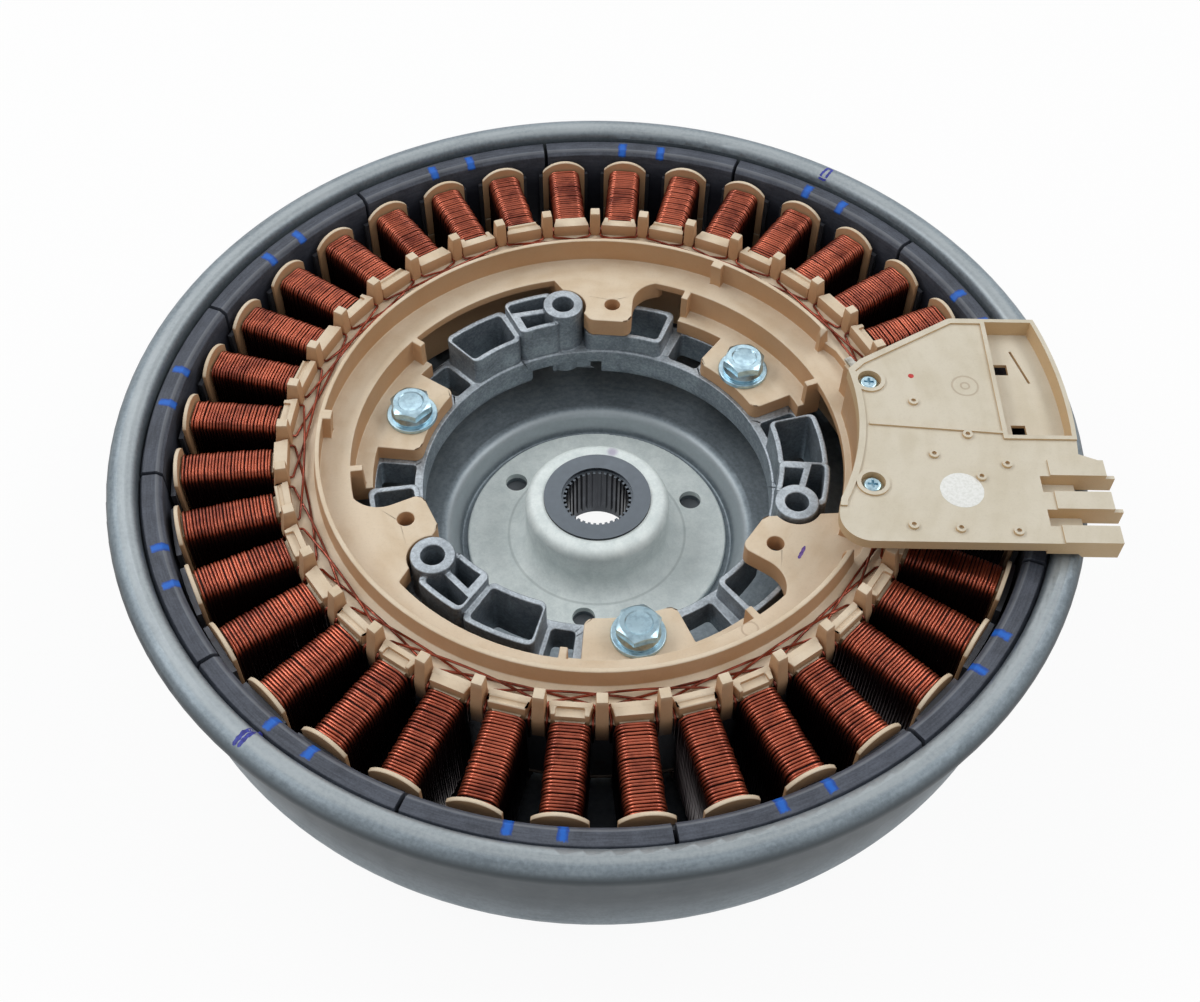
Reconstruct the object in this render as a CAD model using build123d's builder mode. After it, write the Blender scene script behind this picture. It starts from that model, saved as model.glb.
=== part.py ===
from build123d import *
from math import asin, cos, degrees, pi, radians, sin, sqrt
import os

# Direct-drive motor: a wound outer-rotor stator seated in its magnet rotor.
# The spin axis is Z, the rotor's base rests at z = 0, and one stator tooth points along X.
# Lengths are in millimetres and angles in degrees.

# Rotor bowl
sheet = 1.8
floor_level = 7.8
floor_corner_radius = 8.0
rim_reach = 7.3
rim_rise = 3.6
rim_edge_drop = 4.4
rim_inner_bend = 1.2
rim_outer_bend = 2.2
recess_margin = 3.0
recess_slope = 4.0
recess_bend = 2.6
vent_count = 12
vent_inner_radius = 112.0
vent_corner_reach = 3.9
vent_width = 9.0
vent_angle = 12.6

# Hub of the rotor
disc_lip = 5.05
disc_thickness = 2.2
disc_edge_radius = 0.7
hub_seat_lead = 1.45
dome_radius = 24.0
dome_height = 22.9
dome_foot_radius = 6.5
dome_top_radius = 3.5
drive_hole_radius = 3.75
drive_hole_circle_radius = 35.2
drive_hole_angle = 27.4
drive_hole_count = 3
bush_radius = 17.7
bush_stand = 0.8
bush_fit = 0.1
bush_lead_radius = 11.9
bush_lead_depth = 1.2
pilot_radius = 11.6
pilot_length = 3.0
spline_count = 36
spline_root_radius = 11.3
spline_tip_radius = 10.4
spline_share = 0.5

# Magnets
magnet_count = 12
magnet_thickness = 7.0
magnet_glue = 0.1
magnet_rise = 8.3
magnet_lift = 0.8
magnet_split = 1.2
magnet_inner_chamfer = 1.6
magnet_outer_chamfer = 1.1
magnet_outer_chamfer_height = 2.2
air_gap = 0.95

# Cast mounting ring of the stator
casting_width = 17.1
casting_depth = 10.6
casting_wall = 1.9
register_relief = 0.7
register_gap = 0.5
mount_count = 3
mount_circle_radius = 65.0
mount_circle_lead = 8.5
boss_angle = 105.0
boss_radius = 6.85
boss_hole_radius = 3.6
boss_rise = 16.0
bolt_angle = 45.0
frame_lead = 32.4
frame_span = 26.0
frame_rise = 7.3
cell_lag = 2.0
cell_span = 14.0
cell_rise = 14.0
tall_span = 18.6
tall_rise = 11.0
low_pocket_spans = (10.5, 7.0)
low_pocket_gaps = (2.6, 1.4)
notch_lead = 12.0
notch_span = 25.0
notch_rise = 5.6
frame_set_back = 1.0
frame_corner_radius = 2.4
pocket_corner_radius = 1.4
web_thickness = 2.2
web_lead = 1.5

# Stator core
tooth_count = 36
stack_height = 30.0
stack_clearance = 10.9
yoke_width = 8.2
tooth_width = 6.0
tooth_length = 32.35
tip_thickness = 1.75
tip_width = 18.0
core_fit = 0.1

# Insulating mouldings
liner_wall = 1.0
liner_cap = 2.0
ledge_thickness = 1.0
flange_thickness = 2.2
flange_width = 15.4
flange_reach = 6.7
flange_arch_radius = 9.5
lower_flange_reach = 7.0
block_width = 11.9
block_back_width = 10.6
block_thickness = 3.0
block_rise = 5.5
block_groove = (11.0, 0.8, 0.9, 1.1)
block_notch = (8.0, 1.2, 1.5, 1.5)
block_cuts = (block_notch, None, block_groove)
peg_width = 3.4
peg_thickness = 2.8
peg_rise = 8.5
peg_lead = 1.0
upstand_wall = 3.0
upstand_rise = 4.5
upstand_arc = (34.3, 333.1)
upstand_block_angles = (65.6, 180.6)
upstand_block_width = 4.0
upstand_block_reach = 2.5
upstand_return = 3.5
upstand_return_wall = 2.0

# Mounting plate of the upper moulding
plate_drop = 2.5
plate_thickness = 3.0
plate_gap = 4.4
plate_width = 10.7
recess_depth = 9.2
recess_wall = 2.2
recess_gap = 0.6
recess_end_wall = 2.4
recess_arc = (-19.0, 26.5)
pad_thickness = 5.8
pad_margin = 1.3
pad_arc = (-14.5, 13.0)
pad_shelf = 6.0
pad_corner_radius = 3.0
lug_angle = 90.0
lug_gap = 0.5
lug_overhang = 0.5
lug_tip_width = 14.0
lug_root_overlap = 0.5
lug_hole_radius = 2.65
lug_side_radius = 10.0
lug_corner_radius = 3.0
boss_clearance = 1.0

# Windings
phase_names = ("u", "v", "w")
wire_diameter = 0.9
wire_layers = 2
coil_corner_radius = 2.4
coil_end_gap = 0.4
crossover_gap = 0.8
crossover_pitch = 1.3
crossover_arc = (36.0, 331.0)

# Bolts and washers that hold the moulding to the casting
bolt_radius = 3.0
bolt_depth = 8.0
bolt_across_flats = 12.2
bolt_hex_height = 5.6
bolt_flange_radius = 6.8
bolt_flange_height = 2.4
bolt_flange_edge = 0.8
washer_radius = 8.3
washer_thickness = 1.5
thread_clearance = 0.05
hole_clearance = 0.2

# Terminal cover. Its places are (out from its inner arc, across), in axes turned from X by cover_turn.
cover_turn = 3.6
cover_side = 4.2
cover_wall = 1.8
cover_plate = 1.8
cover_rim_width = 2.0
cover_rim_rise = 0.7
cover_inset = 1.2
cover_arc = (-26.5, 11.4)
cover_overhang = 2.0
cover_far = 38.4
cover_near = -50.2
cover_slant_start = (2.4, 19.8)
cover_slant_end = (32.6, 38.4)
cover_tail = -17.0
cover_bend = 3.0
cover_corner_x = -11.0
cover_corner_bend = 9.0
rim_clearance = 0.6

# Plug socket sunk into the cover
socket_x = 42.6
socket_near = -11.8
socket_drop = 7.0
socket_floor = 1.2
socket_wall = 1.4
socket_window = 4.4
socket_window_places = ((48.1, 21.5), (49.8, -3.9))
socket_slot_places = ((52.3, 29.6), (56.3, 15.9))
socket_slot_width = 0.8

# Power plug fingers at the cover's outer edge
plug_x = 51.0
plug_end = 70.6
plug_far = -19.7
plug_slot_width = 6.0
plug_slot_ends = (-25.6, -38.0)
plug_slot_floor = 0.8
plug_open_x = 62.0
finger_reach = 2.8
finger_wall = 1.2
finger_top_drop = 1.6
plug_step = 1.4
plug_step_length = 8.0
pad_start = 54.0
pad_rise = 0.6

# Details on top of the cover
pip_radius = 1.5
pip_bore_radius = 0.7
pip_rise = 0.9
pip_places = ((17.2, 2.8), (31.9, -10.3), (20.8, -18.1), (42.0, -21.5),
              (33.7, -26.5), (11.6, -44.6), (25.0, -45.5), (41.4, -46.3))
rib_places = ((2.8, -6.3), (42.6, -9.3))
rib_width = 0.9

# Screws of the cover and the base under it
screw_places = ((4.6, 11.4), (1.6, -29.2))
screw_boss_radius = 4.9
screw_room_radius = 3.6
screw_seat_depth = 3.0
screw_head_radius = 2.8
screw_head_height = 1.9
screw_head_round = 0.8
screw_slot_width = 0.8
screw_slot_depth = 1.0
screw_radius = 1.5
screw_length = 12.0
base_gap = 0.1
base_wall = 2.0
base_set_in = 1.0
base_arc = (-24.0, 12.0)
base_boss_radius = 4.5

# Sensor board under the cover, winding terminals
board_thickness = 1.2
board_gap = 0.1
board_x = (13.0, 40.0)
board_y = (-42.0, 14.0)
terminal_angles = (17.0, -3.0, -12.0)
terminal_radius = 85.5
terminal_turn = -80.0
post_length = 5.0
post_width = 4.4
post_rise = 12.6
tab_length = 8.0
tab_width = 2.4
tab_thickness = 0.9


# Heights that follow
floor_top = floor_level + sheet
stack_bottom = floor_top + stack_clearance
stack_top = stack_bottom + stack_height
stack_middle = stack_bottom + stack_height / 2
ledge_top = stack_top + ledge_thickness
plate_top = stack_top - plate_drop
pad_top = plate_top - recess_depth
seat_level = pad_top - pad_thickness
casting_bottom = seat_level - casting_depth
frame_top = seat_level + frame_rise
lug_bottom = frame_top + lug_gap
washer_top = pad_top + washer_thickness
magnet_bottom = floor_level + floor_corner_radius + magnet_lift
magnet_top = stack_top + magnet_rise
rim_top = magnet_top + rim_rise
socket_bottom = rim_top + rim_clearance
cover_top = socket_bottom + socket_drop
cover_plate_top = cover_top - cover_rim_rise
cover_plate_bottom = cover_plate_top - cover_plate
cover_bottom = cover_top - cover_side
base_top = cover_bottom - base_gap
bush_height = dome_height + bush_stand
register_bottom = bush_height + register_gap
upstand_top = stack_top + upstand_rise

# Radii that follow
hub_seat_radius = drive_hole_circle_radius - drive_hole_radius - hub_seat_lead
disc_radius = drive_hole_circle_radius + drive_hole_radius + disc_lip
casting_inner_radius = mount_circle_radius - mount_circle_lead
casting_outer_radius = casting_inner_radius + casting_width
plate_inner_radius = casting_outer_radius + plate_gap
upstand_inner_radius = plate_inner_radius + plate_width
upstand_outer_radius = upstand_inner_radius + upstand_wall
yoke_inner_radius = upstand_outer_radius + core_fit
yoke_outer_radius = yoke_inner_radius + yoke_width
tip_radius = yoke_outer_radius + tooth_length
tooth_end_radius = tip_radius - tip_thickness
flange_inner_radius = tooth_end_radius - flange_thickness
block_outer_radius = yoke_outer_radius + liner_wall / 2
block_inner_radius = block_outer_radius - block_thickness
liner_width = tooth_width + 2 * liner_wall
coil_build = wire_layers * wire_diameter
coil_width = liner_width + 2 * coil_build
coil_height = stack_height + 2 * (liner_cap + coil_build)
coil_inner_radius = block_outer_radius + coil_end_gap
coil_outer_radius = flange_inner_radius - coil_end_gap
magnet_inner_radius = tip_radius + air_gap
magnet_outer_radius = magnet_inner_radius + magnet_thickness
wall_inner_radius = magnet_outer_radius + magnet_glue
wall_outer_radius = wall_inner_radius + sheet
rim_radius = wall_outer_radius + rim_reach
recess_radius = disc_radius + recess_margin
vent_outer_radius = wall_inner_radius - vent_corner_reach
cover_inner_radius = plate_inner_radius + cover_inset
cover_outer_radius = wall_outer_radius + cover_overhang
pad_inner_radius = casting_inner_radius + pad_margin
shelf_inner_radius = plate_inner_radius - pad_shelf
lug_tip_radius = casting_inner_radius + lug_overhang

# Arcs of the casting that follow, measured from its first boss
frame_arc = (boss_angle - frame_lead, boss_angle - frame_lead + frame_span)
cell_arc = (boss_angle + cell_lag, boss_angle + cell_lag + cell_span)
tall_arc = (cell_arc[1], cell_arc[1] + tall_span)
low_pocket_ends = (frame_arc[0] - low_pocket_gaps[0], tall_arc[1] + low_pocket_gaps[1] + low_pocket_spans[1])
low_pocket_arcs = [(end - span, end) for end, span in zip(low_pocket_ends, low_pocket_spans)]
notch_arc = (boss_angle - notch_lead, boss_angle - notch_lead + notch_span)
quarter_turn = 90

# Planes that follow
cover_x_axis = (cos(radians(cover_turn)), sin(radians(cover_turn)), 0)
tooth_top_plane = Plane((0, 0, stack_top), x_dir=(0, 1, 0), z_dir=(1, 0, 0))
tooth_bottom_plane = Plane((0, 0, stack_bottom), x_dir=(0, -1, 0), z_dir=(1, 0, 0))
tooth_middle_plane = Plane((0, 0, stack_middle), x_dir=(0, 1, 0), z_dir=(1, 0, 0))


def on_cover(level):
    """The cover's plane at a level: X runs out from the spin axis along the cover's middle."""
    return Plane((0, 0, level), x_dir=cover_x_axis, z_dir=(0, 0, 1))


def cover_place(place):
    """A place on the cover, measured out from its inner arc, as a point of its plane."""
    return (cover_inner_radius + place[0], place[1])


def on_circle(radius, angle):
    """A point on a circle about the spin axis."""
    return (radius * cos(radians(angle)), radius * sin(radians(angle)))


def arc_of(width, radius):
    """The angle that a width takes up at a radius."""
    return degrees(width / radius)


def full_ring(inner_radius, outer_radius):
    """Add a full ring to the sketch that is open."""
    Circle(outer_radius)
    Circle(inner_radius, mode=Mode.SUBTRACT)


def ring_sector(inner_radius, outer_radius, arc):
    """Add the face between two radii and two angles to the sketch that is open."""
    start, end = arc
    with BuildLine() as outline:
        outer = CenterArc((0, 0), outer_radius, start, end - start)
        inner = CenterArc((0, 0), inner_radius, start, end - start)
        Line(outer @ 0, inner @ 0)
        Line(outer @ 1, inner @ 1)
    make_face(outline.edges())


def mount_sectors(inner_radius, outer_radius, arc):
    """Add a ring sector at each mounting point to the sketch that is open."""
    for index in range(mount_count):
        turn = 360 / mount_count * index
        ring_sector(inner_radius, outer_radius, (arc[0] + turn, arc[1] + turn))


def rectangle_between(x_range, y_range):
    """Add a rectangle between two X and two Y values to the sketch that is open."""
    with Locations(((x_range[0] + x_range[1]) / 2, (y_range[0] + y_range[1]) / 2)):
        Rectangle(x_range[1] - x_range[0], y_range[1] - y_range[0])


def save(part, name):
    """Label a finished piece and write it to its own file."""
    part.label = name
    export_step(part, f"parts/{name}.step")


os.makedirs("parts", exist_ok=True)

# Laminated stator core: a yoke with T-shaped teeth
with BuildPart() as stator_core:
    with BuildSketch(Plane.XY.offset(stack_bottom)):
        Circle(yoke_outer_radius)
        with PolarLocations(0, tooth_count):
            with Locations(((yoke_inner_radius + tip_radius) / 2, 0)):
                Rectangle(tip_radius - yoke_inner_radius, tooth_width)
            with Locations(((tooth_end_radius + tip_radius) / 2, 0)):
                Rectangle(tip_thickness, tip_width)
        Circle(yoke_inner_radius, mode=Mode.SUBTRACT)
        Circle(tip_radius, mode=Mode.INTERSECT)
    extrude(amount=stack_height)
save(stator_core.part, "stator_core")


def tooth_moulding(level, reach, block_cut=None):
    """One tooth's share of a moulding, on a plane that faces out along it with Y away from the core.

    A block cut is (width, depth, start from the block's inner face, length along the tooth).
    """
    half_depth = stack_height / 2
    half_width = flange_width / 2
    shoulder = reach - flange_arch_radius + sqrt(flange_arch_radius ** 2 - half_width ** 2)
    with BuildPart() as share:
        # Arched end flange that straddles the tooth
        with BuildSketch(level.offset(flange_inner_radius)):
            with BuildLine() as outline:
                Polyline((-half_width, shoulder), (-half_width, -half_depth),
                         (half_width, -half_depth), (half_width, shoulder))
                ThreePointArc((-half_width, shoulder), (0, reach), (half_width, shoulder))
            make_face(outline.edges())
            with Locations((0, -half_depth / 2)):
                Rectangle(tooth_width, half_depth, mode=Mode.SUBTRACT)
        extrude(amount=flange_thickness)
        # Channel that lines the tooth
        with BuildSketch(level.offset(yoke_outer_radius)):
            with Locations((0, (liner_cap - half_depth) / 2)):
                Rectangle(liner_width, liner_cap + half_depth)
            with Locations((0, -half_depth / 2)):
                Rectangle(tooth_width, half_depth, mode=Mode.SUBTRACT)
        extrude(amount=flange_inner_radius - yoke_outer_radius)
        # Inner block that holds the turns back, narrower behind so that the wires have room beside it
        plan = Plane(level.origin, x_dir=level.z_dir, z_dir=level.y_dir)
        with BuildSketch(plan):
            with BuildLine() as block_outline:
                Polyline((block_inner_radius, -block_width / 2), (block_outer_radius, -block_back_width / 2),
                         (block_outer_radius, block_back_width / 2), (block_inner_radius, block_width / 2),
                         close=True)
            make_face(block_outline.edges())
        extrude(amount=block_rise)
        if block_cut:
            cut_width, cut_depth, cut_start, cut_length = block_cut
            with BuildSketch(level.offset(block_inner_radius + cut_start)):
                with Locations((0, block_rise - cut_depth / 2)):
                    Rectangle(cut_width, cut_depth)
            extrude(amount=cut_length, mode=Mode.SUBTRACT)
    return share.part


# Lug of the mounting plate: one side is hollowed by an arc, the other follows the casting's boss
lug_half = lug_tip_width / 2
lug_neck = lug_tip_radius + lug_side_radius
lug_root = plate_inner_radius + lug_root_overlap
lug_boss = on_circle(mount_circle_radius, boss_angle - lug_angle)
with BuildPart() as lug:
    with BuildSketch(Plane.XY.offset(lug_bottom)):
        with BuildLine():
            Polyline((lug_tip_radius, -lug_half), (lug_tip_radius, lug_half),
                     (lug_root, lug_boss[1] + boss_radius), (lug_root, -lug_half - lug_side_radius),
                     (lug_neck, -lug_half), (lug_tip_radius, -lug_half))
        make_face()
        with Locations((lug_neck, -lug_half - lug_side_radius)):
            Circle(lug_side_radius, mode=Mode.SUBTRACT)
        with Locations(lug_boss):
            Circle(boss_radius + boss_clearance, mode=Mode.SUBTRACT)
        fillet(vertices().sort_by(Axis.X)[0:2], lug_corner_radius)
        with Locations((mount_circle_radius, 0)):
            Circle(lug_hole_radius, mode=Mode.SUBTRACT)
    extrude(amount=plate_top - lug_bottom)

# Upper moulding: plate, lugs, bolt pads, the wall round the plate, ledge, pegs and the tooth channels
with BuildPart() as upper_insulator:
    with BuildSketch(Plane.XY.offset(plate_top)):
        full_ring(plate_inner_radius, upstand_outer_radius)
    extrude(amount=-plate_thickness)
    with BuildSketch(Plane.XY.offset(stack_middle)):
        full_ring(upstand_inner_radius, upstand_outer_radius)
    extrude(amount=ledge_top - stack_middle)
    with BuildSketch(Plane.XY.offset(stack_top)):
        full_ring(upstand_inner_radius, block_outer_radius)
    extrude(amount=ledge_thickness)
    # Wall round the plate, open where the terminal cover sits, with a return at each end and two blocks
    return_arc = arc_of(upstand_return_wall, upstand_inner_radius)
    with BuildSketch(Plane.XY.offset(plate_top)):
        ring_sector(upstand_inner_radius, upstand_outer_radius, upstand_arc)
        return_radius = upstand_inner_radius - upstand_return
        ring_sector(return_radius, upstand_outer_radius, (upstand_arc[0], upstand_arc[0] + return_arc))
        ring_sector(return_radius, upstand_outer_radius, (upstand_arc[1] - return_arc, upstand_arc[1]))
        half_block = arc_of(upstand_block_width, upstand_inner_radius) / 2
        for angle in upstand_block_angles:
            ring_sector(upstand_inner_radius - upstand_block_reach, upstand_outer_radius,
                        (angle - half_block, angle + half_block))
    extrude(amount=upstand_top - plate_top)
    # Sunken pads that the mounting bolts clamp to the casting
    recess_start = bolt_angle + recess_arc[0]
    recess_end = bolt_angle + recess_arc[1]
    recess_outer_radius = plate_inner_radius + recess_wall
    end_wall_arc = arc_of(recess_end_wall, plate_inner_radius)
    with BuildSketch(Plane.XY.offset(seat_level)):
        mount_sectors(plate_inner_radius, recess_outer_radius, (recess_start, recess_end))
        wall_start_radius = casting_outer_radius + recess_gap
        mount_sectors(wall_start_radius, recess_outer_radius, (recess_start, recess_start + end_wall_arc))
        mount_sectors(wall_start_radius, recess_outer_radius, (recess_end - end_wall_arc, recess_end))
    extrude(amount=plate_top - seat_level)
    with BuildSketch(Plane.XY.offset(seat_level)):
        tongue_arc = (bolt_angle + pad_arc[0], bolt_angle + pad_arc[1])
        mount_sectors(pad_inner_radius, recess_outer_radius, tongue_arc)
        fillet(vertices().sort_by_distance((0, 0))[0:2 * mount_count], pad_corner_radius)
        mount_sectors(shelf_inner_radius, recess_outer_radius, (recess_start, recess_end))
        with PolarLocations(mount_circle_radius, mount_count, start_angle=bolt_angle):
            Circle(bolt_radius + hole_clearance, mode=Mode.SUBTRACT)
    extrude(amount=pad_thickness)
    with PolarLocations(0, mount_count, start_angle=lug_angle):
        add(lug.part)
    for phase, block_cut in enumerate(block_cuts):
        with PolarLocations(0, tooth_count // len(block_cuts), start_angle=360 / tooth_count * phase):
            add(tooth_moulding(tooth_top_plane, flange_reach, block_cut))
    # Pegs between the teeth that the crossover wires hook round
    with BuildSketch(Plane.XY.offset(stack_top)):
        peg_radius = block_inner_radius - peg_lead + peg_thickness / 2
        with PolarLocations(peg_radius, tooth_count, start_angle=180 / tooth_count):
            Rectangle(peg_thickness, peg_width)
    extrude(amount=peg_rise)
    # Base that carries the terminal cover
    base_inner_radius = cover_inner_radius + base_set_in
    with BuildSketch(on_cover(plate_top)):
        ring_sector(base_inner_radius, base_inner_radius + base_wall, base_arc)
        rib_arc = arc_of(base_wall, upstand_inner_radius)
        ring_sector(base_inner_radius, upstand_outer_radius, (base_arc[0], base_arc[0] + rib_arc))
        ring_sector(base_inner_radius, upstand_outer_radius, (base_arc[1] - rib_arc, base_arc[1]))
        with Locations(*[cover_place(place) for place in screw_places]):
            Circle(base_boss_radius)
            Circle(screw_radius + thread_clearance, mode=Mode.SUBTRACT)
    extrude(amount=base_top - plate_top)
    # Posts of the winding terminals
    with BuildSketch(on_cover(plate_top)):
        for angle in terminal_angles:
            with Locations(Location(on_circle(terminal_radius, angle), angle + terminal_turn)):
                Rectangle(post_length, post_width)
    extrude(amount=post_rise)
save(upper_insulator.part, "upper_insulator")

# Lower moulding: cap ring and skirt of the yoke, and the tooth channels
with BuildPart() as lower_insulator:
    with BuildSketch(Plane.XY.offset(stack_bottom)):
        full_ring(upstand_inner_radius, block_outer_radius)
    extrude(amount=-ledge_thickness)
    with BuildSketch(Plane.XY.offset(stack_bottom)):
        full_ring(upstand_inner_radius, upstand_outer_radius)
    extrude(amount=stack_height / 2)
    with PolarLocations(0, tooth_count):
        add(tooth_moulding(tooth_bottom_plane, lower_flange_reach))
save(lower_insulator.part, "lower_insulator")

# One coil, wound round its tooth's channel
with BuildPart() as coil:
    with BuildSketch(tooth_middle_plane.offset(coil_inner_radius)):
        RectangleRounded(coil_width, coil_height, coil_corner_radius)
        Rectangle(liner_width, stack_height + 2 * liner_cap, mode=Mode.SUBTRACT)
    extrude(amount=coil_outer_radius - coil_inner_radius)

# Windings: a coil on every third tooth, and the crossover wire that lies on the ledge
phase_count = len(phase_names)
for phase, phase_name in enumerate(phase_names):
    with BuildPart() as winding:
        with PolarLocations(0, tooth_count // phase_count, start_angle=360 / tooth_count * phase):
            add(coil.part)
    save(winding.part, f"winding_{phase_name}")
    crossover_radius = upstand_outer_radius + crossover_gap + phase * crossover_pitch
    with BuildPart() as crossover:
        with BuildSketch(Plane.XY.offset(ledge_top)):
            ring_sector(crossover_radius, crossover_radius + wire_diameter, crossover_arc)
        extrude(amount=wire_diameter)
    save(crossover.part, f"crossover_{phase_name}")

# Cast mounting ring: base ring, raised frames, through pockets, webbed cells and screw bosses
with BuildPart() as mounting_ring:
    frame_inner_radius = casting_inner_radius + frame_set_back
    with BuildSketch(Plane.XY.offset(casting_bottom)):
        full_ring(casting_inner_radius, casting_outer_radius)
    extrude(amount=casting_depth)
    for arc, rise in ((frame_arc, frame_rise), (cell_arc, cell_rise), (tall_arc, tall_rise)):
        with BuildSketch(Plane.XY.offset(seat_level)):
            mount_sectors(frame_inner_radius, casting_outer_radius, arc)
            fillet(vertices(), frame_corner_radius)
        extrude(amount=rise)
    with BuildSketch(Plane.XY.offset(casting_bottom)):
        side_wall = arc_of(casting_wall, mount_circle_radius)
        for start, end in (frame_arc, cell_arc, tall_arc):
            mount_sectors(frame_inner_radius + casting_wall, casting_outer_radius - casting_wall,
                          (start + side_wall, end - side_wall / 2))
        for arc in low_pocket_arcs:
            mount_sectors(frame_inner_radius + casting_wall, casting_outer_radius - casting_wall, arc)
        fillet(vertices(), pocket_corner_radius)
    extrude(amount=casting_depth + cell_rise, mode=Mode.SUBTRACT)
    with BuildSketch(Plane.XY.offset(casting_bottom)):
        mount_sectors(casting_inner_radius - casting_wall, frame_inner_radius + casting_wall, notch_arc)
    extrude(amount=notch_rise, mode=Mode.SUBTRACT)
    # Relief below the register, so that what seats in it stops clear of the bush
    with BuildSketch(Plane.XY.offset(casting_bottom)):
        full_ring(casting_inner_radius - casting_wall, casting_inner_radius + register_relief)
    extrude(amount=register_bottom - casting_bottom, mode=Mode.SUBTRACT)
    with BuildSketch(Plane.XY.offset(casting_bottom)):
        for index in range(mount_count):
            turn = 360 / mount_count * index
            web_foot = on_circle(mount_circle_radius + web_lead, cell_arc[1] - side_wall + turn)
            boss_middle = on_circle(mount_circle_radius, boss_angle + turn)
            web_corner = on_circle(frame_inner_radius + casting_wall / 2, cell_arc[1] - side_wall + turn)
            with BuildLine() as webs:
                Polyline(web_corner, web_foot, boss_middle)
            trace(webs.edges(), line_width=web_thickness)
        with PolarLocations(mount_circle_radius, mount_count, start_angle=boss_angle):
            Circle(boss_radius)
    extrude(amount=casting_depth + cell_rise)
    with BuildSketch(Plane.XY.offset(casting_bottom)):
        with PolarLocations(mount_circle_radius, mount_count, start_angle=boss_angle):
            Circle(boss_radius)
    extrude(amount=casting_depth + boss_rise)
    with BuildSketch(Plane.XY.offset(casting_bottom)):
        with PolarLocations(mount_circle_radius, mount_count, start_angle=boss_angle):
            Circle(boss_hole_radius)
        with PolarLocations(mount_circle_radius, mount_count, start_angle=bolt_angle):
            Circle(bolt_radius + thread_clearance)
    extrude(amount=casting_depth + boss_rise, mode=Mode.SUBTRACT)
save(mounting_ring.part, "mounting_ring")

# Bolts and washers that clamp the moulding to the casting
with BuildPart() as bolt:
    with BuildSketch(Plane.XY.offset(seat_level - bolt_depth)):
        Circle(bolt_radius)
    extrude(amount=washer_top - seat_level + bolt_depth)
    with BuildSketch(Plane.XZ):
        with BuildLine():
            cone_top = washer_top + bolt_flange_height
            Polyline((0, washer_top), (bolt_flange_radius, washer_top),
                     (bolt_flange_radius, washer_top + bolt_flange_edge),
                     (bolt_across_flats / 2, cone_top), (0, cone_top), (0, washer_top))
        make_face()
    revolve(axis=Axis.Z)
    with BuildSketch(Plane.XY.offset(washer_top + bolt_flange_edge)):
        RegularPolygon(bolt_across_flats / 2, 6, major_radius=False)
    extrude(amount=bolt_hex_height - bolt_flange_edge)
with BuildPart() as washer:
    with BuildSketch(Plane.XY.offset(pad_top)):
        full_ring(bolt_radius + hole_clearance, washer_radius)
    extrude(amount=washer_thickness)
for index in range(mount_count):
    place = Location(on_circle(mount_circle_radius, bolt_angle + 360 / mount_count * index))
    save(bolt.part.moved(place), f"mounting_bolt_{index + 1}")
    save(washer.part.moved(place), f"bolt_washer_{index + 1}")

# Rotor bowl, pressed from sheet: hub recess, floor, wall and rolled rim
with BuildPart() as rotor_bowl:
    with BuildSketch(Plane.XZ):
        with BuildLine():
            FilletPolyline((hub_seat_radius, 0), (recess_radius, 0),
                           (recess_radius + recess_slope, floor_level), (wall_outer_radius, floor_level),
                           (wall_outer_radius, rim_top - sheet), (rim_radius - sheet, rim_top - sheet),
                           (rim_radius - sheet, rim_top - rim_edge_drop),
                           radius=[recess_bend, recess_bend, floor_corner_radius,
                                   rim_inner_bend, rim_outer_bend])
            offset(amount=sheet, side=Side.LEFT)
        make_face()
    revolve(axis=Axis.Z)
    with BuildSketch(Plane.XY.offset(floor_level - sheet)):
        with PolarLocations((vent_inner_radius + vent_outer_radius) / 2, vent_count, start_angle=vent_angle):
            SlotOverall(vent_outer_radius - vent_inner_radius, vent_width)
    extrude(amount=3 * sheet, mode=Mode.SUBTRACT)
    with BuildSketch(Plane.XY):
        with PolarLocations(drive_hole_circle_radius, drive_hole_count, start_angle=drive_hole_angle):
            Circle(drive_hole_radius)
    extrude(amount=sheet, mode=Mode.SUBTRACT)
save(rotor_bowl.part, "rotor_bowl")

# Hub disc, riveted over the bowl's opening, with a dome round the bush
with BuildPart() as hub_disc:
    with BuildSketch(Plane.XZ):
        with BuildLine():
            disc_top = sheet + disc_thickness
            bore_radius = bush_radius + bush_fit
            Polyline((bore_radius, 0), (hub_seat_radius - bush_fit, 0), (hub_seat_radius - bush_fit, sheet),
                     (disc_radius, sheet), (disc_radius, disc_top), (dome_radius, disc_top),
                     (dome_radius, dome_height), (bore_radius, dome_height), (bore_radius, 0))
        make_face()
        fillet(vertices().sort_by_distance((dome_radius, disc_top))[0], dome_foot_radius)
        fillet(vertices().sort_by_distance((dome_radius, dome_height))[0], dome_top_radius)
        fillet(vertices().sort_by_distance((disc_radius, disc_top))[0], disc_edge_radius)
    revolve(axis=Axis.Z)
    with BuildSketch(Plane.XY.offset(sheet)):
        with PolarLocations(drive_hole_circle_radius, drive_hole_count, start_angle=drive_hole_angle):
            Circle(drive_hole_radius)
    extrude(amount=disc_thickness, mode=Mode.SUBTRACT)
save(hub_disc.part, "hub_disc")

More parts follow.
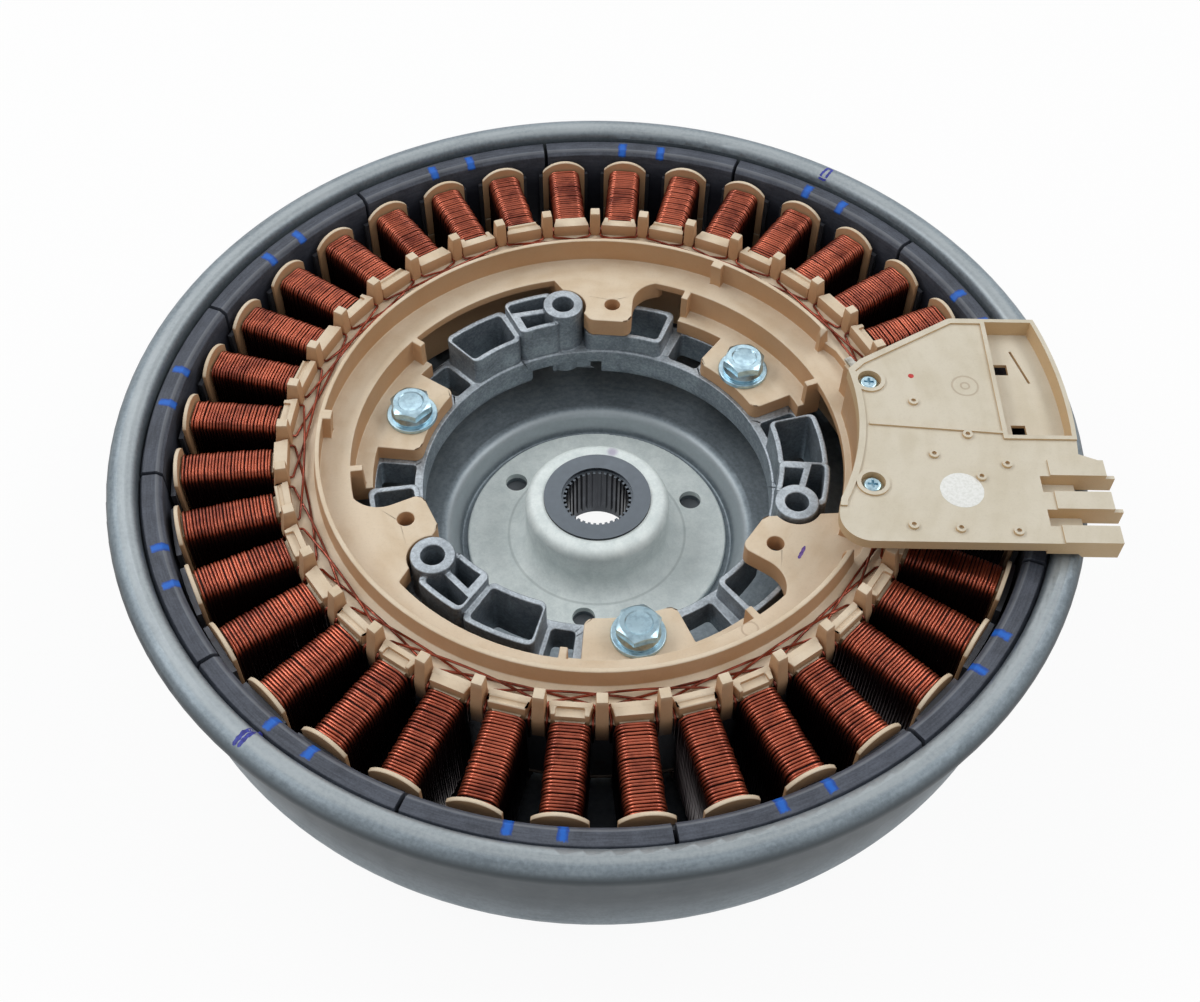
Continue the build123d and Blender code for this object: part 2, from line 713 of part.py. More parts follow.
# Splined bush: smooth pilot at the back, internal splines, lead-in at the front
with BuildPart() as spline_bush:
    with BuildSketch(Plane.XY):
        full_ring(pilot_radius, bush_radius)
    extrude(amount=pilot_length)
    with BuildSketch(Plane.XY.offset(pilot_length)):
        full_ring(spline_root_radius, bush_radius)
        spline_pitch = 2 * pi * spline_tip_radius / spline_count
        spline_depth = spline_root_radius - spline_tip_radius
        with PolarLocations(spline_tip_radius + spline_depth, spline_count):
            Rectangle(2 * spline_depth, spline_pitch * spline_share)
    extrude(amount=bush_height - bush_lead_depth - pilot_length)
    with BuildSketch(Plane.XY.offset(bush_height - bush_lead_depth)):
        full_ring(bush_lead_radius, bush_radius)
    extrude(amount=bush_lead_depth)
save(spline_bush.part, "spline_bush")

# Magnets on the bowl's wall: curved blocks with both top edges broken
magnet_arc = 360 / magnet_count - arc_of(magnet_split, magnet_inner_radius)
for index in range(magnet_count):
    start = vent_angle + 180 / magnet_count + 360 / magnet_count * index - magnet_arc / 2
    start_x_axis = (*on_circle(1, start), 0)
    start_normal = (*on_circle(1, start - quarter_turn), 0)
    start_plane = Plane((0, 0, 0), x_dir=start_x_axis, z_dir=start_normal)
    with BuildPart() as magnet:
        with BuildSketch(start_plane):
            with BuildLine():
                Polyline((magnet_inner_radius, magnet_bottom), (magnet_outer_radius, magnet_bottom),
                         (magnet_outer_radius, magnet_top - magnet_outer_chamfer_height),
                         (magnet_outer_radius - magnet_outer_chamfer, magnet_top),
                         (magnet_inner_radius + magnet_inner_chamfer, magnet_top),
                         (magnet_inner_radius, magnet_top - magnet_inner_chamfer),
                         (magnet_inner_radius, magnet_bottom))
            make_face()
        revolve(axis=Axis.Z, revolution_arc=magnet_arc)
    save(magnet.part, f"magnet_{index + 1:02d}")


def cover_outline():
    """Add the terminal cover's outline to the sketch that is open."""
    far_x = sqrt(cover_outer_radius ** 2 - cover_far ** 2)
    tail_angle = degrees(asin(cover_tail / cover_outer_radius))
    far_angle = degrees(asin(cover_far / cover_outer_radius))
    plug_end_x = cover_inner_radius + plug_end
    corner = cover_place((cover_corner_x, cover_near))
    with BuildLine() as outline:
        inner = CenterArc((0, 0), cover_inner_radius, cover_arc[0], cover_arc[1] - cover_arc[0])
        outer = CenterArc((0, 0), cover_outer_radius, tail_angle, far_angle - tail_angle)
        Polyline(inner @ 1, cover_place(cover_slant_start), cover_place(cover_slant_end), (far_x, cover_far))
        Polyline(outer @ 0, (plug_end_x, plug_far), (plug_end_x, cover_near), corner, inner @ 0)
    make_face(outline.edges())
    fillet(vertices().sort_by_distance(corner)[0], cover_corner_bend)
    for place in (cover_slant_start, cover_slant_end):
        fillet(vertices().sort_by_distance(cover_place(place))[0], cover_bend)


def socket_area(inset):
    """Add the plug socket's area, drawn in by a wall, to the sketch that is open."""
    rectangle_between((cover_inner_radius + socket_x + inset, cover_outer_radius),
                      (socket_near + inset, cover_far - inset))
    Circle(cover_outer_radius - inset, mode=Mode.INTERSECT)


# Terminal cover: plate, skirt and rim, screw bosses, sunken socket and the power plug's fingers
with BuildPart() as terminal_cover:
    socket_start_x = cover_inner_radius + socket_x
    plug_start_x = cover_inner_radius + plug_x
    plug_end_x = cover_inner_radius + plug_end
    with BuildSketch(on_cover(cover_plate_bottom)):
        cover_outline()
    extrude(amount=cover_plate)
    with BuildSketch(on_cover(cover_bottom)):
        cover_outline()
        offset(amount=-cover_wall, mode=Mode.SUBTRACT)
    extrude(amount=cover_side - cover_rim_rise)
    with BuildSketch(on_cover(cover_plate_top)):
        cover_outline()
        offset(amount=-cover_rim_width, mode=Mode.SUBTRACT)
        with BuildSketch(mode=Mode.PRIVATE) as plain_edges:
            rectangle_between((0, plug_end_x), (cover_near, plug_slot_ends[1]))
            rectangle_between((socket_start_x, plug_end_x), (cover_near, cover_far - cover_rim_width))
        add(plain_edges.sketch, mode=Mode.SUBTRACT)
    extrude(amount=cover_rim_rise)
    # Socket
    with BuildSketch(on_cover(socket_bottom)):
        socket_area(0)
    extrude(amount=socket_drop)
    with BuildSketch(on_cover(socket_bottom + socket_floor)):
        socket_area(socket_wall)
    extrude(amount=socket_drop, mode=Mode.SUBTRACT)
    with BuildSketch(on_cover(socket_bottom)):
        with Locations(*[cover_place(place) for place in socket_window_places]):
            Rectangle(socket_window, socket_window)
        with BuildLine() as key_slot:
            Line(*[cover_place(place) for place in socket_slot_places])
        trace(key_slot.edges(), line_width=socket_slot_width)
    extrude(amount=socket_floor, mode=Mode.SUBTRACT)
    # Power plug: stepped block, slots, raised pads and the fingers beside the slots
    near_point = on_cover(0).from_local_coords((0, cover_near, 0))
    near_plane = Plane(near_point, x_dir=cover_x_axis, z_dir=(*on_circle(1, cover_turn - quarter_turn), 0))
    with BuildSketch(near_plane):
        with BuildLine():
            Polyline((plug_start_x - finger_wall, socket_bottom + plug_step),
                     (plug_start_x + plug_step_length, socket_bottom + plug_step),
                     (plug_start_x + plug_step_length + plug_step, socket_bottom),
                     (plug_end_x, socket_bottom), (plug_end_x, cover_plate_top),
                     (plug_start_x - finger_wall, cover_plate_top),
                     (plug_start_x - finger_wall, socket_bottom + plug_step))
        make_face()
    extrude(amount=-(plug_far - cover_near))
    with BuildSketch(on_cover(cover_plate_top)):
        rectangle_between((cover_inner_radius + pad_start, plug_end_x), (cover_near, plug_far))
    extrude(amount=pad_rise)
    finger_starts = (cover_inner_radius + pad_start, plug_end_x + finger_reach)
    with BuildSketch(on_cover(socket_bottom)):
        for slot_end in plug_slot_ends:
            rectangle_between(finger_starts, (slot_end, slot_end + finger_wall))
    extrude(amount=socket_drop - finger_top_drop)
    for start_x, level in ((plug_start_x, socket_bottom + plug_step + plug_slot_floor),
                           (cover_inner_radius + plug_open_x, socket_bottom)):
        with BuildSketch(on_cover(level)):
            for slot_end in plug_slot_ends:
                slot_sides = (slot_end - plug_slot_width, slot_end)
                rectangle_between((start_x, plug_end_x + finger_reach), slot_sides)
        extrude(amount=cover_top - level, mode=Mode.SUBTRACT)
    # Screw bosses, pips and the step rib
    with BuildSketch(on_cover(cover_bottom)):
        with Locations(*[cover_place(place) for place in screw_places]):
            Circle(screw_boss_radius)
    extrude(amount=cover_side)
    with BuildSketch(on_cover(cover_plate_top)):
        with Locations(*[cover_place(place) for place in pip_places]):
            full_ring(pip_bore_radius, pip_radius)
    extrude(amount=pip_rise)
    with BuildSketch(on_cover(cover_plate_top)):
        with BuildLine() as step_rib:
            Line(*[cover_place(place) for place in rib_places])
        trace(step_rib.edges(), line_width=rib_width)
    extrude(amount=cover_rim_rise)
    with BuildSketch(on_cover(cover_bottom)):
        with Locations(*[cover_place(place) for place in screw_places]):
            Circle(screw_radius + hole_clearance)
    extrude(amount=cover_side, mode=Mode.SUBTRACT)
    with BuildSketch(on_cover(cover_top - screw_seat_depth)):
        with Locations(*[cover_place(place) for place in screw_places]):
            Circle(screw_room_radius)
    extrude(amount=screw_seat_depth, mode=Mode.SUBTRACT)
save(terminal_cover.part, "terminal_cover")

# Cover screws: pan heads with a cross recess
screw_seat = cover_top - screw_seat_depth
with BuildPart() as screw:
    with BuildSketch(Plane.XY.offset(screw_seat - screw_length)):
        Circle(screw_radius)
    extrude(amount=screw_length)
    with BuildSketch(Plane.XY.offset(screw_seat)):
        Circle(screw_head_radius)
    extrude(amount=screw_head_height)
    fillet(edges().group_by(Axis.Z)[-1], screw_head_round)
    with BuildSketch(Plane.XY.offset(screw_seat + screw_head_height)):
        Rectangle(2 * screw_radius, screw_slot_width)
        Rectangle(screw_slot_width, 2 * screw_radius)
    extrude(amount=-screw_slot_depth, mode=Mode.SUBTRACT)
for index, place in enumerate(screw_places):
    seat_point = on_cover(0).from_local_coords((*cover_place(place), 0))
    save(screw.part.moved(Location(seat_point)), f"cover_screw_{index + 1}")

# Sensor board under the cover's plate
with BuildPart() as sensor_board:
    with BuildSketch(on_cover(cover_plate_bottom - board_gap)):
        rectangle_between([cover_inner_radius + x for x in board_x], board_y)
    extrude(amount=-board_thickness)
save(sensor_board.part, "sensor_board")

# Winding terminals: flat tabs on the posts
for index, angle in enumerate(terminal_angles):
    with BuildPart() as terminal:
        with BuildSketch(on_cover(plate_top + post_rise)):
            with Locations(Location(on_circle(terminal_radius, angle), angle + terminal_turn)):
                Rectangle(tab_length, tab_width)
        extrude(amount=tab_thickness)
    save(terminal.part, f"phase_terminal_{index + 1}")
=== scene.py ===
import logging
import random
from dataclasses import dataclass
from enum import Enum
from math import atan2, cos, degrees, hypot, pi, radians, sin, sqrt, tan
from typing import Any, Callable, Sequence

import bmesh
import bpy
from mathutils import Matrix, Vector


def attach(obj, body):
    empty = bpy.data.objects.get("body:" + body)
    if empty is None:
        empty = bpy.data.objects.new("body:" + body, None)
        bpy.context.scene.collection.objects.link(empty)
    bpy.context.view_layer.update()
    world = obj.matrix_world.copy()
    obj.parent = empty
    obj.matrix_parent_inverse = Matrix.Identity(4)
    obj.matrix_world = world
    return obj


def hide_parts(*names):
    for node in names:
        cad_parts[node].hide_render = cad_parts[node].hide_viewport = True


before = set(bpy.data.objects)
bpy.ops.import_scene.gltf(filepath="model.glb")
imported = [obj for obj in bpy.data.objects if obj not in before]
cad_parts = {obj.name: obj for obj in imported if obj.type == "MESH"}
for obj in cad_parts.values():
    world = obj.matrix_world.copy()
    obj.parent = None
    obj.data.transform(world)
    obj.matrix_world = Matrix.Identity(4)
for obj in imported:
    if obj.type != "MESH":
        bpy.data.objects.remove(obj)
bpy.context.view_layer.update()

MM = 0.001
LOG = logging.getLogger("motor")

Point = tuple[float, float, float]
Colour = tuple[float, float, float]
Range = tuple[float, float]


class Body(Enum):
    """The two bodies of the motor."""

    STATOR = "stator"
    ROTOR = "rotor"


class Slot(Enum):
    """The record's material slots that the pieces made here belong to."""

    TAN = "tan_moulding"
    COPPER = "enamelled_copper"
    CASTING = "cast_aluminium"
    ZINC = "zinc_plated_steel"
    CREAM = "cream_moulding"
    SHEET = "coated_sheet_steel"
    FERRITE = "ferrite"


def linear(colour: Colour) -> tuple[float, float, float, float]:
    """Turns a colour written as 0 to 255 screen values into the linear values that a socket takes.

    Args:
        colour: Red, green and blue from 0 to 255.

    Returns:
        Linear red, green, blue and an alpha of 1.
    """
    def channel(level: float) -> float:
        """One channel."""
        share = level / 255
        return share / 12.92 if share <= 0.04045 else ((share + 0.055) / 1.055) ** 2.4

    return (channel(colour[0]), channel(colour[1]), channel(colour[2]), 1.0)


def polar(radius: float, angle: float, level: float = 0.0) -> Vector:
    """A point at a radius and an angle in degrees, in millimetres."""
    return Vector((radius * cos(radians(angle)), radius * sin(radians(angle)), level))


class Value:
    """A number socket that takes part in Python expressions."""

    def __init__(self, bench: "Bench", socket: bpy.types.NodeSocket) -> None:
        """Wraps a socket of one bench."""
        self.bench = bench
        self.socket = socket

    def __add__(self, other: Any) -> "Value":
        """Adds."""
        return self.bench.math("ADD", self, other)

    __radd__ = __add__

    def __sub__(self, other: Any) -> "Value":
        """Subtracts."""
        return self.bench.math("SUBTRACT", self, other)

    def __rsub__(self, other: Any) -> "Value":
        """Subtracts this from a number."""
        return self.bench.math("SUBTRACT", other, self)

    def __mul__(self, other: Any) -> "Value":
        """Multiplies."""
        return self.bench.math("MULTIPLY", self, other)

    __rmul__ = __mul__

    def __truediv__(self, other: Any) -> "Value":
        """Divides."""
        return self.bench.math("DIVIDE", self, other)

    def __pow__(self, other: Any) -> "Value":
        """Raises to a power."""
        return self.bench.math("POWER", self, other)


class Bench:
    """The nodes of one tree."""

    def __init__(self, tree: bpy.types.NodeTree) -> None:
        """Starts work on a tree."""
        self.tree = tree

    def node(self, kind: str, settings: dict[str, Any] | None = None,
             inputs: dict[Any, Any] | None = None) -> bpy.types.Node:
        """Makes one node.

        Args:
            kind: The node's type.
            settings: Properties, set first.
            inputs: Values or links of its sockets, by name or number.

        Returns:
            The node.
        """
        node = self.tree.nodes.new(kind)
        for name, value in (settings or {}).items():
            setattr(node, name, value)
        for key, value in (inputs or {}).items():
            if isinstance(value, Value):
                self.tree.links.new(value.socket, node.inputs[key])
            elif isinstance(value, bpy.types.NodeSocket):
                self.tree.links.new(value, node.inputs[key])
            else:
                node.inputs[key].default_value = value
        return node

    def math(self, operation: str, *values: Any) -> Value:
        """One Math node on numbers and values."""
        node = self.node("ShaderNodeMath", {"operation": operation}, dict(enumerate(values)))
        return Value(self, node.outputs[0])

    def vector(self, x: Any, y: Any, z: Any) -> bpy.types.NodeSocket:
        """Joins three numbers into a vector."""
        return self.node("ShaderNodeCombineXYZ", None, {0: x, 1: y, 2: z}).outputs[0]

    def ease(self, value: Value, low: float, high: float) -> Value:
        """Goes smoothly from 0 at low to 1 at high."""
        node = self.node("ShaderNodeMapRange", {"interpolation_type": "SMOOTHSTEP"},
                         {"Value": value, "From Min": low, "From Max": high})
        return Value(self, node.outputs[0])

    def band(self, value: Value, low: float, high: float, edge: float) -> Value:
        """Is 1 between low and high and 0 outside, with soft edges."""
        return self.ease(value, low - edge, low + edge) * (1 - self.ease(value, high - edge, high + edge))

    def noise(self, place: bpy.types.NodeSocket, size: float, detail: float = 2.0,
              roughness: float = 0.5) -> Value:
        """Noise whose lumps are about so many millimetres wide, from 0 to 1."""
        node = self.node("ShaderNodeTexNoise", None,
                         {"Vector": place, "Scale": 1 / size, "Detail": detail, "Roughness": roughness})
        return Value(self, node.outputs[0])

    def mix(self, factor: Any, first: Any, second: Any) -> bpy.types.NodeSocket:
        """Mixes two colours, each a socket or screen values."""
        colours = [linear(colour) if isinstance(colour, tuple) else colour for colour in (first, second)]
        node = self.node("ShaderNodeMix", {"data_type": "RGBA"}, {0: factor, 6: colours[0], 7: colours[1]})
        return node.outputs[2]

    def bump(self, height: Value, depth: float) -> bpy.types.NodeSocket:
        """A bump whose full height is so many millimetres."""
        return self.node("ShaderNodeBump", None,
                         {"Height": height, "Distance": depth * MM, "Strength": 1.0}).outputs[0]


class Paint(Bench):
    """A new material with its shader and the places of its surface in millimetres."""

    def __init__(self, name: str, **plain: Any) -> None:
        """Makes the material.

        Args:
            name: The material's name.
            plain: Sockets of the shader that are the same all over, with _ for a space.
        """
        self.material = bpy.data.materials.new(name)
        self.material.use_nodes = True
        super().__init__(self.material.node_tree)
        self.shader = next(node for node in self.tree.nodes if node.type == "BSDF_PRINCIPLED")
        for key, value in plain.items():
            self.shader.inputs[key.replace("_", " ")].default_value = value
        objects = self.node("ShaderNodeTexCoord").outputs["Object"]
        self.place = self.node("ShaderNodeVectorMath", {"operation": "SCALE"},
                               {0: objects, "Scale": 1 / MM}).outputs[0]
        parts = self.node("ShaderNodeSeparateXYZ", None, {0: self.place})
        self.x, self.y, self.z = (Value(self, socket) for socket in parts.outputs)

    def radius(self) -> Value:
        """Distance from the motor's axis in millimetres."""
        return (self.x * self.x + self.y * self.y) ** 0.5

    def angle(self) -> Value:
        """Angle round the motor's axis in degrees."""
        return self.math("ARCTAN2", self.y, self.x) * (180 / pi)

    def spot(self, x: float, y: float) -> Value:
        """Distance in millimetres from an upright line through x, y."""
        along, across = self.x - x, self.y - y
        return (along * along + across * across) ** 0.5

    def stretched(self, across: float, around: float, up: float) -> bpy.types.NodeSocket:
        """Places stretched along the turning direction, so that noise on them makes turned marks."""
        return self.vector(self.radius() / across, self.angle() / around, self.z / up)

    def facing_up(self) -> Value:
        """The upward part of the surface's direction, from -1 to 1."""
        normal = self.node("ShaderNodeNewGeometry").outputs["Normal"]
        return Value(self, self.node("ShaderNodeSeparateXYZ", None, {0: normal}).outputs[2])

    def wear(self, **sockets: Any) -> None:
        """Joins what changes over the surface to the shader's sockets, with _ for a space."""
        for key, value in sockets.items():
            source = value.socket if isinstance(value, Value) else value
            self.tree.links.new(source, self.shader.inputs[key.replace("_", " ")])


@dataclass(frozen=True)
class ZincSheet:
    """Zinc-coated steel of the pressed rotor: spangled, with painted highlights on the top of the lip and on
    the bead, and painted shade on the lip's outer edge, in the fold under the lip, on the wall and on the
    bowl's bottom under the coils.

    Radii and levels are in millimetres, and each pair says where a finish starts and ends.
    """

    dark: Colour = (112, 122, 129)
    light: Colour = (146, 157, 164)
    lip: Colour = (166, 173, 176)
    lip_radii: Range = (141.2, 145.4)
    lip_levels: Range = (59.8, 61.6)
    edge: Colour = (104, 112, 116)
    edge_radii: Range = (147.2, 149.3)
    crease_shade: Colour = (62, 70, 76)
    crease_radii: Range = (142.0, 143.6)
    crease_levels: Range = (55.6, 60.0)
    bead: Colour = (190, 198, 202)
    bead_radii: Range = (46.6, 50.6)
    bead_levels: Range = (2.2, 4.0)
    wall: Colour = (66, 72, 76)
    wall_radii: Range = (139.0, 142.5)
    wall_levels: Range = (8.0, 34.0)
    floor_shade: Colour = (44, 42, 54)
    floor_radii: Range = (97.0, 134.0)
    floor_levels: Range = (6.0, 20.0)

    def build(self) -> bpy.types.Material:
        """Makes the material."""
        paint = Paint("zinc sheet", Metallic=0.55, Specular_IOR_Level=0.5)
        spangle = paint.noise(paint.place, 1.3, 3.0, 0.65)
        cloud = paint.noise(paint.place, 26.0, 3.0, 0.55)
        streak = paint.noise(paint.stretched(1.6, 9.0, 2.5), 1.0, 3.0, 0.6)
        mixed = paint.ease(spangle * 0.5 + cloud * 0.3 + streak * 0.35, 0.36, 0.78)
        colour = paint.mix(mixed, self.dark, self.light)
        radius = paint.radius()
        # Painted highlight on the top of the lip, where the light catches it.
        top = paint.ease(paint.z, *self.lip_levels)
        lip = paint.band(radius, *self.lip_radii, 0.9) * top
        colour = paint.mix(lip * (0.55 + 0.45 * mixed), colour, self.lip)
        # Painted shade on the lip's outer edge, which turns down away from the light.
        colour = paint.mix(paint.ease(radius, *self.edge_radii) * 0.6, colour, self.edge)
        # Painted shade in the fold below the lip.
        crease_shade = paint.band(paint.z, *self.crease_levels, 0.7) * paint.band(radius, *self.crease_radii, 0.4)
        colour = paint.mix(crease_shade * 0.7, colour, self.crease_shade)
        # Painted highlight on the bead, where the bowl bends up round the hub.
        bead = paint.band(radius, *self.bead_radii, 0.8) * paint.ease(paint.z, *self.bead_levels)
        colour = paint.mix(bead * 0.6, colour, self.bead)
        # Painted shade on the wall below the lip.
        wall = paint.ease(paint.z, *self.wall_levels) * paint.ease(radius, *self.wall_radii) * (1 - top)
        colour = paint.mix(wall * 0.9, colour, self.wall)
        # Painted shade on the bowl's bottom under the coils, on its upward faces.
        low = 1 - paint.ease(paint.z, *self.floor_levels)
        floor_shade = paint.band(radius, *self.floor_radii, 1.5) * low * paint.ease(paint.facing_up(), 0.2, 0.6)
        colour = paint.mix(floor_shade * 0.82, colour, self.floor_shade)
        smudge = paint.noise(paint.place, 9.0, 4.0, 0.7)
        paint.wear(Base_Color=colour, Roughness=0.34 + 0.2 * smudge + 0.08 * spangle,
                   Normal=paint.bump(spangle * 0.6 + streak * 0.6, 0.035))
        return paint.material


@dataclass(frozen=True)
class Ferrite:
    """Ground ferrite of the magnets: worn edges, painted shade on the inner faces low in the slots and two
    blue pen marks on each.
    """

    dark: Colour = (54, 58, 67)
    light: Colour = (88, 93, 104)
    worn: Colour = (124, 128, 134)
    mark: Colour = (0, 98, 198)
    mark_edge: Colour = (4, 66, 152)
    first_angle: float = 27.6
    step: float = 30.0
    mark_offset: float = 2.98
    mark_half: float = 1.5
    mark_ends: Range = (137.8, 138.5)
    middle_radius: float = 136.8
    top: float = 58.8
    rim_radii: Range = (134.2, 135.2)
    shade: Colour = (32, 33, 44)
    shade_levels: Range = (44.0, 58.0)
    shade_radii: Range = (133.4, 134.4)

    def build(self) -> bpy.types.Material:
        """Makes the material."""
        paint = Paint("ferrite", Metallic=0.12, Specular_IOR_Level=0.45)
        grain = paint.noise(paint.place, 0.7, 3.0, 0.7)
        cloud = paint.noise(paint.place, 7.0, 3.0, 0.6)
        ground = paint.noise(paint.stretched(0.5, 3.2, 0.9), 1.0, 2.0, 0.6)
        mixed = paint.ease(grain * 0.35 + cloud * 0.4 + ground * 0.35, 0.35, 0.75)
        colour = paint.mix(mixed, self.dark, self.light)
        radius = paint.radius()
        rim = paint.band(radius, *self.rim_radii, 0.25) * paint.ease(paint.z, self.top - 1.4, self.top - 0.1)
        colour = paint.mix(rim * (0.35 + 0.5 * cloud), colour, self.worn)
        turn = paint.math("WRAP", paint.angle() - self.first_angle, -self.step / 2, self.step / 2)
        ragged = paint.noise(paint.place, 1.1, 3.0, 0.6)
        away = paint.math("ABSOLUTE", paint.math("ABSOLUTE", turn) - self.mark_offset) * \
            radians(self.middle_radius) + (ragged - 0.5) * 1.3
        inked = (1 - paint.ease(away, self.mark_half - 0.25, self.mark_half + 0.2)) * \
            paint.ease(paint.z + (ragged - 0.5) * 2.0, self.top - 2.3, self.top - 1.7) * \
            (1 - paint.ease(radius + (ragged - 0.5) * 1.6, *self.mark_ends))
        core = 1 - paint.ease(away + (cloud - 0.5) * 1.2, 0.4, self.mark_half)
        colour = paint.mix(inked * (0.82 + 0.18 * cloud), colour, paint.mix(core, self.mark_edge, self.mark))
        # Painted shade on the inner faces, darker towards the bottom of the slots.
        deep = (1 - paint.ease(paint.z, *self.shade_levels)) * (1 - paint.ease(radius, *self.shade_radii))
        colour = paint.mix(deep * 0.82, colour, self.shade)
        paint.wear(Base_Color=colour, Roughness=0.5 + 0.22 * cloud - 0.12 * inked,
                   Normal=paint.bump(grain * 0.7 + ground * 0.7, 0.05))
        return paint.material


@dataclass(frozen=True)
class Moulding:
    """Filled nylon of the bobbin mouldings and the cover: fine grain and mottling, with painted shade on
    upright sides and low in the coil slots.

    Witness rings are faint circles that the mould leaves, each by its place and radius.
    """

    name: str = "tan moulding"
    # top is the colour of upward faces, and side the painted shade given to upright faces.
    top: Colour = (222, 205, 180)
    side: Colour = (194, 150, 108)
    stain: Colour = (204, 180, 148)
    grain_size: float = 0.8
    witness: tuple[Point, ...] = ((48.9, -63.9, 2.4),)
    speck: Colour = (120, 96, 72)
    groove: Colour = (150, 120, 92)
    # Painted shade low in the coil slots: its colour, the levels below which it comes in, and the radii of
    # the slots.
    slot: Colour = (50, 40, 42)
    slot_shade_levels: Range = (43.0, 54.0)
    slot_shade_radii: Range = (95.2, 127.4)

    def build(self) -> bpy.types.Material:
        """Makes the material."""
        paint = Paint(self.name, Specular_IOR_Level=0.4)
        grain = paint.noise(paint.place, self.grain_size, 3.0, 0.6)
        cloud = paint.noise(paint.place, 14.0, 3.0, 0.6)
        flow = paint.noise(paint.stretched(5.0, 14.0, 5.0), 1.0, 2.0, 0.5)
        colour = paint.mix(paint.ease(cloud * 0.6 + flow * 0.4, 0.38, 0.68) * 0.7, self.top, self.stain)
        # Painted shade: faces that turn from upward take the warmer, darker side colour.
        aside = 1 - paint.ease(paint.facing_up(), 0.05, 0.75)
        colour = paint.mix(aside * (0.8 + 0.2 * cloud), colour, self.side)
        colour = paint.mix((grain - 0.5) * 0.35, colour, self.speck)
        # Painted shade low in the coil slots.
        deep = 1 - paint.ease(paint.z, *self.slot_shade_levels)
        colour = paint.mix(deep * paint.band(paint.radius(), *self.slot_shade_radii, 0.6) * 0.84, colour, self.slot)
        height = grain
        for x, y, size in self.witness:
            ring = paint.band(paint.spot(x, y), size - 0.28, size + 0.28, 0.12)
            height = height - ring * 3.0
            colour = paint.mix(ring * 0.35, colour, self.groove)
        paint.wear(Base_Color=colour, Roughness=0.46 + 0.16 * cloud + 0.06 * grain,
                   Normal=paint.bump(height, 0.03))
        return paint.material


@dataclass(frozen=True)
class Enamel:
    """Enamelled copper wire: an amber coat over copper, with painted shade on a coil's flanks and low in the
    slots.
    """

    name: str = "enamelled copper"
    bright: Colour = (192, 104, 78)
    deep: Colour = (118, 50, 36)
    shade: Colour = (46, 24, 26)
    shade_turn: Range = (-0.15, 0.5)
    shade_levels: Range = (47.0, 53.0)
    coat: float = 0.5

    def build(self) -> bpy.types.Material:
        """Makes the material."""
        paint = Paint(self.name, Metallic=0.82, Coat_Roughness=0.16, Coat_Tint=(1.0, 0.83, 0.7, 1.0))
        fleck = paint.noise(paint.place, 2.4, 3.0, 0.6)
        cloud = paint.noise(paint.place, 11.0, 2.0, 0.5)
        colour = paint.mix(paint.ease(fleck * 0.35 + cloud * 0.65, 0.36, 0.72), self.bright, self.deep)
        # Painted shade: faces that turn sideways or down, and wire low on the coils and in the slots, go to
        # the shade colour and lose their coat.
        painted_lit_share = paint.ease(paint.facing_up(), *self.shade_turn) * paint.ease(paint.z, *self.shade_levels)
        colour = paint.mix(painted_lit_share, self.shade, colour)
        coat = (self.coat - 0.2 * cloud) * painted_lit_share
        paint.wear(Base_Color=colour, Roughness=0.25 + 0.1 * fleck, Coat_Weight=coat,
                   Normal=paint.bump(fleck, 0.008))
        return paint.material


@dataclass(frozen=True)
class CoilBed:
    """The inner layer of wire seen between the outer turns, coloured dark as painted shade."""

    deep: Colour = (40, 18, 18)
    light: Colour = (60, 28, 24)

    def build(self) -> bpy.types.Material:
        """Makes the material."""
        paint = Paint("coil bed", Metallic=0.4)
        fleck = paint.noise(paint.place, 1.6, 2.0, 0.5)
        paint.wear(Base_Color=paint.mix(fleck, self.deep, self.light), Roughness=0.5 + 0.2 * fleck,
                   Normal=paint.bump(fleck, 0.05))
        return paint.material


@dataclass(frozen=True)
class CastAluminium:
    """As-cast aluminium: speckled grey skin, with painted light on its upward faces, which are also a little
    smoother.
    """

    dark: Colour = (120, 128, 136)
    light: Colour = (176, 186, 194)
    painted_top_light: Colour = (206, 214, 220)

    def build(self) -> bpy.types.Material:
        """Makes the material."""
        paint = Paint("cast aluminium", Metallic=0.72, Specular_IOR_Level=0.5)
        pits = paint.noise(paint.place, 0.9, 4.0, 0.7)
        cloud = paint.noise(paint.place, 8.0, 3.0, 0.6)
        mixed = paint.ease(pits * 0.6 + cloud * 0.45, 0.36, 0.76)
        colour = paint.mix(mixed, self.dark, self.light)
        # Painted light: upward faces are lightened as if lit from above, and made a little smoother.
        up = paint.ease(paint.facing_up(), 0.75, 0.98)
        colour = paint.mix(up * (0.25 + 0.5 * mixed), colour, self.painted_top_light)
        paint.wear(Base_Color=colour, Roughness=0.42 + 0.22 * pits - 0.08 * up,
                   Normal=paint.bump(pits * 0.8 + cloud, 0.16))
        return paint.material


@dataclass(frozen=True)
class ZincPlate:
    """Bright bluish zinc plating of the bolts, washers and screws."""

    base: Colour = (190, 218, 230)
    dull: Colour = (160, 188, 202)

    def build(self) -> bpy.types.Material:
        """Makes the material."""
        paint = Paint("zinc plate", Metallic=1.0)
        haze = paint.noise(paint.place, 2.2, 3.0, 0.6)
        fine = paint.noise(paint.place, 0.5, 2.0, 0.6)
        colour = paint.mix(paint.ease(haze, 0.4, 0.7), self.base, self.dull)
        paint.wear(Base_Color=colour, Roughness=0.26 + 0.1 * haze, Normal=paint.bump(fine, 0.006))
        return paint.material


